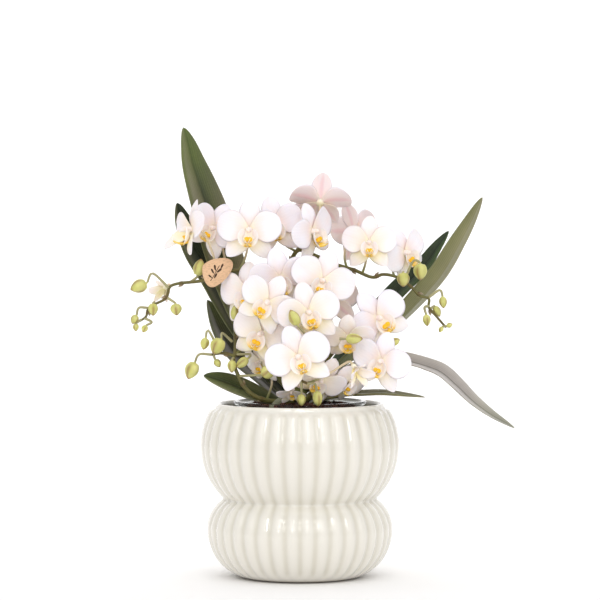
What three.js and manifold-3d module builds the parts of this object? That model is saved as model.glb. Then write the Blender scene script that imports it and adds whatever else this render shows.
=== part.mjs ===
// A potted moth orchid: a white, many-flowered miniature Phalaenopsis with two ranks of strap leaves and
// four branched flower spikes, growing in bark in a clear grower pot that stands inside a ribbed stoneware
// cachepot. Millimetres, +Z up. The origin is the centre of the cachepot's foot, and -Y is the front.

import * as THREE from "three";
import { mergeVertices } from "three/addons/utils/BufferGeometryUtils.js";
import Module from "manifold-3d";

const wasm = await Module();
wasm.setup();

const V = (x, y, z) => new THREE.Vector3(x, y, z);
const vector = (numbers) => new THREE.Vector3(...numbers);
const radians = THREE.MathUtils.degToRad;

// Driving dimensions
const seatGap = 0.3; // left between pieces that touch
const pot = {
  height: 122,
  ribs: 38,
  ribDepth: 1.8,
  waistHeight: 54.5,
  footRadius: 40,
  rimRadius: 58,
  rimRound: 1.2,
  mouthRadius: 56,
  floor: 7,
  floorRadius: 38,
  wall: 5.5,
};
// The pot's profile is made of arcs, given by the radius and height of their centre and their own radius.
const upperBelly = { centre: 19.9, height: 92, radius: 49.8 };
const lowerBelly = { centre: 40, height: 33.5, radius: 25 };
const footCurve = { centre: 32, width: 33, drop: 34.5 };
const growerPot = { topRadius: 44, baseRadius: 35, wall: 1.1, top: 123.5, lipRadius: 46.5, lipHeight: 3 };
const roundSegments = 28; // facets round the grower pot, the bark and the inside of the cachepot
const bark = { top: 116.5, chips: 14, chipLength: 14, chipWidth: 4, chipHeight: 2.6 };
const barkHollow = { radius: 15, floor: 117.2 };
const crown = { x: -2, y: 0, bottom: 104, top: 138, baseRadius: 7.5, topRadius: 4.5 };
const petalSize = { length: 21, width: 23.5 };
const topSepalSize = { length: 20.5, width: 13.5 };
const sideSepalSize = { length: 22, width: 13 };
const petalThickness = 1.0;
const leafThickness = 2.0;
const pedicelRadius = 0.85;
const stalkDrop = 12; // how far below a flower its stalk leaves the stem
const stalkSwing = 0.15; // how far a stalk bows out, as a share of its length
const stalkLength = 3.2; // from a flower's centre back to where its stalk ends

// Solids from points

// A closed skin over a row of rings with the same number of points. A ring of one point is a tip. The
// second half of each ring is split the other way, so that the two faces of a thin blade are split alike.
function skin(rings) {
  const points = [];
  const faces = [];
  const starts = [];
  for (const ring of rings) {
    starts.push(points.length);
    points.push(...ring);
  }
  for (let i = 0; i + 1 < rings.length; i++) {
    const count = Math.max(rings[i].length, rings[i + 1].length);
    for (let k = 0; k < count; k++) {
      const next = (k + 1) % count;
      const here = starts[i];
      const there = starts[i + 1];
      if (rings[i].length === 1) {
        faces.push([here, there + next, there + k]);
      } else if (rings[i + 1].length === 1) {
        faces.push([here + k, here + next, there]);
      } else if (k < count / 2) {
        faces.push([here + k, here + next, there + next], [here + k, there + next, there + k]);
      } else {
        faces.push([here + k, here + next, there + k], [here + next, there + next, there + k]);
      }
    }
  }
  const first = rings[0].length;
  const last = rings[rings.length - 1].length;
  for (let k = 1; k + 1 < first; k++) faces.push([0, k + 1, k]);
  const end = starts[rings.length - 1];
  for (let k = 1; k + 1 < last; k++) faces.push([end, end + k, end + k + 1]);
  const geometry = new THREE.BufferGeometry().setFromPoints(points);
  geometry.setIndex(faces.flat());
  return geometry;
}

// A geometry as a manifold-3d solid, with its faces turned outwards.
function solid(geometry) {
  const bare = geometry.index ? geometry.toNonIndexed() : geometry.clone();
  bare.deleteAttribute("normal");
  bare.deleteAttribute("uv");
  const merged = mergeVertices(bare, 1e-4);
  const vertProperties = merged.attributes.position.array;
  const triVerts = new Uint32Array(merged.index.array);
  const made = new wasm.Manifold(new wasm.Mesh({ numProp: 3, vertProperties, triVerts }));
  if (made.volume() > 0) return made;
  for (let i = 0; i < triVerts.length; i += 3) {
    [triVerts[i + 1], triVerts[i + 2]] = [triVerts[i + 2], triVerts[i + 1]];
  }
  return new wasm.Manifold(new wasm.Mesh({ numProp: 3, vertProperties, triVerts }));
}

function joined(solids) {
  return solids.reduce((sum, next) => sum.add(next));
}

// The largest body of a solid, with any loose scrap dropped.
function mainBody(whole) {
  const bodies = whole.decompose();
  return bodies.reduce((best, body) => (body.volume() > best.volume() ? body : best));
}

function geometryOf(made) {
  const mesh = made.getMesh();
  const positions = new Float32Array(mesh.numVert * 3);
  for (let i = 0; i < mesh.numVert; i++) {
    positions.set(mesh.vertProperties.subarray(i * mesh.numProp, i * mesh.numProp + 3), i * 3);
  }
  const geometry = new THREE.BufferGeometry();
  geometry.setAttribute("position", new THREE.BufferAttribute(positions, 3));
  geometry.setIndex(new THREE.BufferAttribute(mesh.triVerts, 1));
  geometry.computeVertexNormals();
  return geometry;
}

const orchid = new THREE.Group();

function addPiece(name, geometry, material) {
  const mesh = new THREE.Mesh(geometry, material);
  mesh.name = name;
  orchid.add(mesh);
  return mesh;
}

const finish = (color, roughness) => new THREE.MeshStandardMaterial({ color, roughness, metalness: 0 });

// A round rod through points, with a ring at each. There is one radius for each point, and 0 is a tip.
function rod(points, radii, sides) {
  const line = new THREE.CatmullRomCurve3(points, false, "centripetal");
  let side = V(0.3, 1, 0.1);
  const rings = points.map((centre, i) => {
    if (radii[i] === 0) return [centre];
    const along = line.getTangent(i / (points.length - 1));
    side = side.clone().addScaledVector(along, -side.dot(along)).normalize();
    return ringAround(centre, side, along.clone().cross(side), radii[i], sides);
  });
  return solid(skin(rings));
}

// A ring of points round a centre, in the plane of two directions.
function ringAround(centre, side, other, radius, sides) {
  return Array.from({ length: sides }, (_, k) => {
    const turn = (2 * Math.PI * k) / sides;
    const point = centre.clone().addScaledVector(side, radius * Math.cos(turn));
    return point.addScaledVector(other, radius * Math.sin(turn));
  });
}

// A round solid turned from its profile, given as pairs of radius and height.
function turned(profile) {
  const shape = new THREE.LatheGeometry(profile.map((pair) => new THREE.Vector2(...pair)), roundSegments);
  shape.rotateX(Math.PI / 2);
  return solid(shape);
}

// Radii that run evenly from one to another over a number of points.
const taper = (start, end, count) =>
  Array.from({ length: count }, (_, i) => start + ((end - start) * i) / (count - 1));

// A thin blade. middle(t, s, row) is its mid-surface, with t from base to tip and s from -1 to 1 across;
// face(t) is the direction it is thick in. Half its thickness lies to either side and runs out at the rim.
function blade({ stations, strips, middle, face, halfThickness }) {
  const rings = stations.map((t, row) => {
    const front = [];
    const back = [];
    for (let k = 0; k <= strips; k++) {
      const s = (2 * k) / strips - 1;
      const depth = halfThickness * (1 - s * s);
      front.push(middle(t, s, row).addScaledVector(face(t), depth));
      if (k > 0 && k < strips) back.unshift(middle(t, s, row).addScaledVector(face(t), -depth));
    }
    return [...front, ...back];
  });
  rings.push([middle(1, 0, stations.length)]);
  return solid(skin(rings));
}

// Cachepot

// The outer radius at a height: two stacked bellies, each an arc, that meet at the waist.
function bellyRadius(z) {
  const arc = z > pot.waistHeight ? upperBelly : lowerBelly;
  const above = z - arc.height;
  if (arc === lowerBelly && above < 0) {
    return footCurve.centre + footCurve.width * Math.sqrt(1 - (above / footCurve.drop) ** 2);
  }
  return arc.centre + Math.sqrt(arc.radius ** 2 - above ** 2);
}

// The ribs are full over the bellies and die out towards the rim and the foot.
function ribDepthAt(z) {
  const nearRim = THREE.MathUtils.smoothstep(pot.height - 3 - z, 0, 9);
  const nearFoot = THREE.MathUtils.smoothstep(z, 1, 10);
  return pot.ribDepth * nearRim * nearFoot;
}

function ribbedRing(z, radius, depth) {
  const columns = pot.ribs * 2;
  const ring = [];
  for (let k = 0; k < columns; k++) {
    const turn = (2 * Math.PI * k) / columns;
    const reach = k % 2 ? radius - depth : radius;
    ring.push(V(reach * Math.cos(turn), reach * Math.sin(turn), z));
  }
  return ring;
}

function cachepot() {
  const heights = [4, 12, 24, 39, 49, pot.waistHeight, 61, 74, 94, 113, pot.height - pot.rimRound];
  const rings = [ribbedRing(0, pot.footRadius, 0)];
  for (const z of heights) rings.push(ribbedRing(z, bellyRadius(z), ribDepthAt(z)));
  rings.push(ribbedRing(pot.height, pot.rimRadius, 0));
  const outside = solid(skin(rings));

  const insideAt = (z) => [bellyRadius(z) - pot.wall, z];
  const hollow = turned([
    [0, pot.floor],
    [pot.floorRadius, pot.floor],
    insideAt(lowerBelly.height),
    insideAt(pot.waistHeight),
    insideAt(upperBelly.height),
    [pot.mouthRadius, pot.height - 4],
    [pot.mouthRadius, pot.height - 1],
    [pot.mouthRadius + 1.2, pot.height + 1],
    [0, pot.height + 1],
  ]);
  return outside.subtract(hollow);
}

addPiece("cachepot", geometryOf(cachepot()), finish(0xe9e6db, 0.22));

// Grower pot

const growerFloor = pot.floor + seatGap;
const growerRadiusAt = (z) =>
  THREE.MathUtils.mapLinear(z, growerFloor, growerPot.top, growerPot.baseRadius, growerPot.topRadius);

function growerPotSolid() {
  const { wall, top, lipRadius, lipHeight, baseRadius, topRadius } = growerPot;
  return turned([
    [0, growerFloor],
    [baseRadius, growerFloor],
    [growerRadiusAt(top - lipHeight), top - lipHeight],
    [lipRadius, top - lipHeight],
    [lipRadius, top],
    [topRadius - wall, top],
    [baseRadius - wall, growerFloor + wall],
    [0, growerFloor + wall],
  ]);
}

addPiece("grower_pot", geometryOf(growerPotSolid()), finish(0xcfd4cf, 0.15));

// Crown and roots: the short upright stem that the leaves and spikes grow from

const crownSides = 10;
const crownRadii = [
  [crown.bottom, 5.5],
  [112, crown.baseRadius],
  [128, crown.baseRadius - 0.7],
  [crown.top, crown.topRadius],
];

// The crown's outline, grown outwards by a clearance for whatever is seated on it.
function crownBody(clearance) {
  const centreAt = (z) => V(crown.x, crown.y, z);
  const rings = crownRadii.map(([z, radius]) =>
    ringAround(centreAt(z), V(1, 0, 0), V(0, 1, 0), radius + clearance, crownSides));
  rings.push([centreAt(crown.top + 4 + clearance)]);
  return solid(skin(rings));
}

// Fleshy roots leave the crown just above the bark, arch over it and go down into it.
const roots = [
  { line: [[-3, -4, 124], [-9, -13, 126], [-17, -24, 122], [-20, -29, 115], [-20, -30, 105]], radius: 2.9 },
  { line: [[2, 3, 119], [14, 13, 122], [23, 19, 119], [27, 21, 110]], radius: 2.2 },
  { line: [[-5, 4, 119], [-16, 16, 121], [-22, 24, 117], [-24, 26, 108]], radius: 2.3 },
  { line: [[2, -3, 118], [10, -15, 121], [17, -25, 117], [19, -28, 107]], radius: 2.1 },
];
const rootRods = (clearance) =>
  roots.map(({ line, radius }) =>
    rod(line.map(vector), taper(radius + clearance, 0.75 * radius + clearance, line.length), 6));

addPiece("crown_and_roots", geometryOf(joined([crownBody(0), ...rootRods(0)])), finish(0x6f7352, 0.6));
const clearOfCrown = joined([crownBody(seatGap), ...rootRods(seatGap + 0.1)]);
const clearInBark = joined([crownBody(seatGap + 0.2), ...rootRods(seatGap + 0.1)]);

// Bark mix

// A repeatable stand-in for chance, so that the chips lie the same way each time.
function seededRandom(seed) {
  let state = seed;
  return () => {
    state = (state * 16807) % 2147483647;
    return state / 2147483647;
  };
}

const goldenAngle = radians(137.5);

// Bark fills the grower pot, with coarse chips standing out of its top round a hollow for the crown, and
// plain holes for the crown and the roots.
function barkMix() {
  const inside = growerPot.wall + seatGap;
  const topRadius = growerRadiusAt(bark.top) - inside - 0.4;
  const body = turned([
    [0, growerFloor + inside],
    [growerPot.baseRadius - inside - 0.2, growerFloor + inside],
    [topRadius, bark.top],
    [0, bark.top],
  ]);
  const random = seededRandom(7);
  const chips = [];
  const reach = topRadius - bark.chipLength / 2 - 1.2;
  for (let i = 0; i < bark.chips; i++) {
    const length = bark.chipLength * (0.6 + 0.4 * random());
    const width = bark.chipWidth + 3 * random();
    const chip = new THREE.BoxGeometry(length, width, bark.chipHeight + 2 * random());
    const distance = reach * Math.sqrt((i + 0.5) / bark.chips);
    const turn = i * goldenAngle;
    chip.rotateX((random() - 0.5) * 0.8);
    chip.rotateY((random() - 0.5) * 0.6);
    chip.rotateZ(random() * Math.PI);
    chip.translate(distance * Math.cos(turn), distance * Math.sin(turn), bark.top + 0.6 * random());
    chips.push(solid(chip));
  }
  const hollow = new THREE.CylinderGeometry(barkHollow.radius, barkHollow.radius - 2, 12, 16);
  hollow.rotateX(Math.PI / 2);
  hollow.translate(crown.x, crown.y, barkHollow.floor + 6);
  return mainBody(joined([body, ...chips]).subtract(solid(hollow)).subtract(clearInBark));
}

addPiece("bark_mix", geometryOf(barkMix()), finish(0x4a2a1e, 0.9));

// Leaves

// Each leaf is a strap folded along its midrib. The line is the midrib from the crown to the tip, width is
// the half-width at its broadest, facing is where the upper face points at base and tip, and fold is the
// rise of each half from flat, in degrees.
const leaves = {
  leaf_left_tall: {
    line: [
      [-5, 0, 130], [-12, 1, 138], [-23, 3, 152], [-36, 5, 170], [-47, 7, 196], [-56, 9, 224],
      [-64, 11, 252], [-70, 12, 271], [-76, 13, 290], [-79, 13, 303], [-82, 13, 315],
    ],
    width: 17,
    facing: [[0.5, -0.5, 0.6], [0.35, -0.9, 0.1]],
    fold: 24,
    colour: 0x56643a,
  },
  leaf_left_broad: {
    line: [
      [-6, 5, 123], [-13, 12, 131], [-29, 18, 154], [-41, 20, 173], [-53, 21, 194], [-62, 22, 210],
      [-75, 23, 229], [-83, 24, 247], [-87, 25, 262],
    ],
    width: 17,
    facing: [[0.5, -0.6, 0.5], [0.5, -0.85, 0.1]],
    fold: 26,
    colour: 0x3c4a28,
  },
  leaf_left_behind: {
    line: [[-6, 7, 119], [-16, 20, 125], [-30, 28, 138], [-45, 33, 152], [-57, 35, 170], [-66, 36, 193]],
    width: 12,
    facing: [[0.5, -0.4, 0.7], [0.6, -0.75, 0.2]],
    fold: 22,
    colour: 0x56603c,
  },
  leaf_left_low: {
    line: [
      [-7, -4.1, 119.6], [-18, -9, 122.5], [-31, -12, 127.5], [-44, -14, 133], [-56, -17, 138],
      [-67, -20, 142],
    ],
    width: 10.5,
    facing: [[0.1, -0.4, 0.9], [0.35, -0.75, 0.55]],
    fold: 22,
    colour: 0x35471f,
  },
  leaf_right_tall: {
    line: [
      [4, 1, 129], [14, 5, 136], [34, 12, 150], [52, 16, 163], [67, 18, 176], [82, 19, 191], [100, 21, 212],
      [114, 22, 236], [121, 22, 249], [129, 22, 266],
    ],
    width: 12.5,
    facing: [[-0.5, 0.2, 0.8], [-0.6, 0.8, 0.2]],
    fold: 20,
    colour: 0x6b7a48,
  },
  leaf_right_dark: {
    line: [
      [3, 8, 120], [11, 19, 126], [28, 31, 147], [53, 35, 178], [70, 37, 198], [88, 38, 216], [97, 38, 229],
      [106, 38, 242],
    ],
    width: 11,
    facing: [[-0.5, -0.2, 0.8], [-0.45, -0.85, 0.3]],
    fold: 24,
    colour: 0x24361a,
  },
  leaf_right_trailing: {
    line: [
      [4, -3, 124], [14, -5, 131], [31, -6, 142], [50, -7, 149], [65, -6, 151.5], [77, -8, 150],
      [88, -9, 147], [98, -12, 143], [108, -14, 134.5], [119, -16, 124], [132, -19, 114.5], [142, -21, 109],
      [149, -22, 105.5],
    ],
    width: 11.5,
    facing: [[-0.3, -0.2, 0.9], [0.35, -0.4, 0.85]],
    fold: 22,
    colour: 0x75776a,
  },
  leaf_right_low: {
    line: [
      [4, -4, 119.5], [14, -6, 124], [31, -8, 127.5], [45, -12, 128.5], [58, -15, 129], [74, -18, 128],
      [87, -20, 127],
    ],
    width: 8,
    facing: [[0, -0.2, 1], [0, -0.12, 1]],
    fold: 14,
    colour: 0x4e4f30,
  },
};

// A strap's half-width along its length, as a share of its broadest.
const leafOutline = (t) => Math.sin(Math.PI * Math.min(1, 0.2 + 0.8 * t) ** 1.35) ** 0.6;
const leafStep = 21; // length of a leaf between two rows of its facets

function leaf({ line, width, facing, fold }) {
  const midrib = new THREE.CatmullRomCurve3(line.map(vector), false, "centripetal");
  const faceAt = (t) => {
    const along = midrib.getTangentAt(t);
    const wanted = vector(facing[0]).lerp(vector(facing[1]), t);
    return wanted.addScaledVector(along, -wanted.dot(along)).normalize();
  };
  const middle = (t, s) => {
    const along = midrib.getTangentAt(t);
    const up = faceAt(t);
    const across = along.clone().cross(up);
    const half = t < 1 ? width * leafOutline(t) : 0;
    const point = midrib.getPointAt(t);
    point.addScaledVector(across, half * s * Math.cos(radians(fold)));
    return point.addScaledVector(up, half * (Math.abs(s) - 0.25 * s * s) * Math.sin(radians(fold)));
  };
  const steps = Math.round(midrib.getLength() / leafStep);
  const stations = Array.from({ length: steps + 1 }, (_, i) => 0.965 * (i / steps) ** 0.85);
  const whole = blade({ stations, strips: 4, middle, face: faceAt, halfThickness: leafThickness / 2 });
  return mainBody(whole.subtract(clearOfCrown));
}

for (const [name, leafPlan] of Object.entries(leaves)) {
  addPiece(name, geometryOf(leaf(leafPlan)), finish(leafPlan.colour, 0.45));
}

// Blooms

// Where each flower's centre is, where it looks (azimuth to the right of the front, elevation), how far it
// is turned anticlockwise on its stalk, its size and how far it has opened. Leans gives the degrees by
// which each petal and sepal is bent forwards beyond that, in the order in which a bloom is built.
const blooms = {
  bloom_left_tip: {
    at: [-74, -24, 243], looks: [-66, 5], roll: 4, size: 1.06, open: 0.9, leans: [-8, 0, -10, 42, 10],
  },
  bloom_left_inner: { at: [-60, -11, 244], looks: [-20, 0], roll: -35, size: 0.95, open: 1 },
  bloom_crown_left: { at: [-35, -30, 243], looks: [-5, -3], roll: -2, size: 1.08, open: 1 },
  bloom_crown_middle: { at: [-18, -12, 246], looks: [5, 0], roll: 12, size: 1.02, open: 1 },
  bloom_crown_back: { at: [0, 17, 247], looks: [180, 20], roll: 0, size: 0.85, open: 1 },
  bloom_crown_side: { at: [8, -14, 242], looks: [50, -3], roll: 22, size: 1.02, open: 1 },
  bloom_top_back: {
    at: [14, 2, 262], looks: [180, 48], roll: 8, size: 1.06, open: 1, leans: [0, 0, 36, 0, 0],
  },
  bloom_top_right: { at: [38, 10, 242], looks: [145, 8], roll: -15, size: 1, open: 1 },
  bloom_right_face: { at: [48, -16, 234], looks: [0, 0], roll: 0, size: 0.92, open: 1 },
  bloom_right_tip: { at: [73, 4, 227], looks: [45, -5], roll: 33, size: 0.95, open: 1 },
  bloom_middle_upper: { at: [-13, -38, 210], looks: [0, -10], roll: 12, size: 1.05, open: 1 },
  bloom_middle_left: { at: [-35.8, -22, 199.2], looks: [-30, 0], roll: 0, size: 1.08, open: 1 },
  bloom_middle_front: { at: [-22, -50, 194], looks: [-15, -10], roll: -35, size: 1.02, open: 1 },
  bloom_low_left: { at: [-26.2, -34.5, 172], looks: [-22, -10], roll: -25, size: 1.05, open: 1 },
  bloom_heart_upper: { at: [15, -42, 208], looks: [8, 0], roll: -20, size: 1.1, open: 1 },
  bloom_heart_lower: { at: [6, -54, 187], looks: [5, -5], roll: 15, size: 1.05, open: 1 },
  bloom_flank_upper: { at: [54, -28, 182], looks: [22, 0], roll: 38, size: 1.08, open: 1 },
  bloom_flank_lower: { at: [56, -44, 153], looks: [-20, -5], roll: -17, size: 1.02, open: 1 },
  bloom_front: { at: [-1, -66, 157], looks: [0, 0], roll: 20, size: 1.1, open: 1 },
  bloom_nodding: { at: [33, -37, 170], looks: [-5, -35], roll: 0, size: 0.9, open: 1 },
  bloom_opening: { at: [37, -54, 150], looks: [30, -30], roll: 0, size: 0.8, open: 0.35 },
  bloom_skirt_middle: { at: [14, -39, 141], looks: [5, -30], roll: -37, size: 0.9, open: 1 },
  bloom_skirt_right: { at: [34.2, -27, 139.2], looks: [40, -40], roll: -30, size: 0.85, open: 1 },
  bloom_skirt_small: { at: [-5.5, -38, 133], looks: [-10, -50], roll: 0, size: 0.55, open: 0.7 },
  bloom_low_side: { at: [-27, -17, 152], looks: [-50, -20], roll: 0, size: 0.8, open: 1 },
  bloom_rear_left: { at: [-12, 24, 196], looks: [190, 5], roll: 10, size: 0.95, open: 1 },
  bloom_rear_right: { at: [23, 26, 193], looks: [165, 0], roll: -10, size: 0.95, open: 1 },
  bloom_rear_low: { at: [5, 24, 163], looks: [182, -10], roll: 0, size: 0.9, open: 1 },
  bloom_opening_left: { at: [-94, -8, 203], looks: [-150, -20], roll: 0, size: 0.62, open: 0.4 },
};

// One petal or sepal of a flower that looks along +Z. It grows from the centre at an angle from +X. Its
// outline pairs shares of the length with shares of the half-width, and the narrow first one is the claw.
function tepal({ angle, length, width, outline, lift, cup, lean }, size, open) {
  const turn = radians(angle);
  const closing = radians(5 + (1 - open) * 78 + lean);
  const outwards = V(Math.cos(turn), Math.sin(turn), 0);
  const along = outwards.clone().multiplyScalar(Math.cos(closing)).add(V(0, 0, Math.sin(closing)));
  const up = outwards.clone().multiplyScalar(-Math.sin(closing)).add(V(0, 0, Math.cos(closing)));
  const across = up.clone().cross(along);
  const broadest = 0.5 * width * size * (0.25 + 0.75 * open);
  const middle = (t, s, row) => {
    const half = t < 1 ? broadest * outline[row][1] : 0;
    const bow = size * (1.4 * Math.sin(Math.PI * t) - 2.2 * t * t * open);
    const sides = size * cup * s * s * Math.sin(Math.PI * t);
    const point = along.clone().multiplyScalar(length * size * t);
    return point.addScaledVector(across, half * s).addScaledVector(up, lift * size + bow + sides);
  };
  const stations = outline.map(([share]) => share);
  return blade({ stations, strips: 2, middle, face: () => up, halfThickness: petalThickness / 2 });
}

// The lip hangs under the column as a scoop: its sides stand up like ears and its tip curls forwards.
function lip(size) {
  const rows = [
    { centre: [0, -0.6, 2.6], half: 0.8, ear: 0 },
    { centre: [0, -5.4, 3], half: 6.4, ear: 4.4 },
    { centre: [0, -8.6, 6], half: 4.6, ear: 2.4 },
    { centre: [0, -9, 9.4], half: 0, ear: 0 },
  ];
  const face = V(0, 0.62, 0.78);
  const middle = (t, s, row) => {
    const { centre, half, ear } = rows[row];
    return vector(centre).add(V(half * s, 0.7 * ear * s * s, ear * s * s)).multiplyScalar(size);
  };
  const stations = [0, 0.3, 0.65];
  return blade({ stations, strips: 2, middle, face: () => face, halfThickness: petalThickness / 2 });
}

// The seat that the tepals are rooted in, with a facet for each, and the column that stands on it.
function seatAndColumn(size, open) {
  const rows = [[-stalkLength + seatGap, 1.1], [-1.9 * size, 2.5 * size], [1.9 * size, 2.5 * size]];
  if (open > 0.5) rows.push([5.8 * size, 1.7 * size]);
  const corners = [52, 128, 199, 270, 341].map(radians);
  const rings = rows.map(([z, radius]) =>
    corners.map((turn) => V(radius * Math.cos(turn), radius * Math.sin(turn), z)));
  return solid(skin(rings));
}

function bloom({ size, open, leans = [0, 0, 0, 0, 0] }) {
  const wide = { lift: 0.6, cup: 1.4, outline: [[0.09, 0.1], [0.3, 0.84], [0.6, 1], [0.86, 0.66]] };
  const slim = { cup: -0.4, outline: [[0.09, 0.16], [0.42, 1], [0.8, 0.74]] };
  const tepals = [
    { ...wide, ...petalSize, angle: 14 },
    { ...wide, ...petalSize, angle: 166 },
    { ...slim, ...topSepalSize, angle: 90, lift: -0.6 },
    { ...slim, ...sideSepalSize, angle: 232, lift: -0.45 },
    { ...slim, ...sideSepalSize, angle: 308, lift: -0.9 },
  ].map((plan, index) => tepal({ ...plan, lean: leans[index] }, size, open));
  return mainBody(joined([seatAndColumn(size, open), ...tepals, ...(open > 0.5 ? [lip(size)] : [])]));
}

// The direction a flower looks in, from its azimuth and elevation.
function lookOf([azimuth, elevation]) {
  const [a, e] = [radians(azimuth), radians(elevation)];
  return V(Math.sin(a) * Math.cos(e), -Math.cos(a) * Math.cos(e), Math.sin(e));
}

function placeBloom(mesh, { at, looks, roll }) {
  const look = lookOf(looks);
  const right = V(0, 0, 1).cross(look).normalize();
  const top = look.clone().cross(right);
  mesh.position.set(...at);
  mesh.quaternion.setFromRotationMatrix(new THREE.Matrix4().makeBasis(right, top, look));
  mesh.quaternion.multiply(new THREE.Quaternion().setFromAxisAngle(V(0, 0, 1), radians(roll)));
}

const petalWhite = finish(0xf6efee, 0.5);
for (const [name, plan] of Object.entries(blooms)) {
  placeBloom(addPiece(name, geometryOf(bloom(plan)), petalWhite.clone()), plan);
}

// Flower spikes

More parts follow.
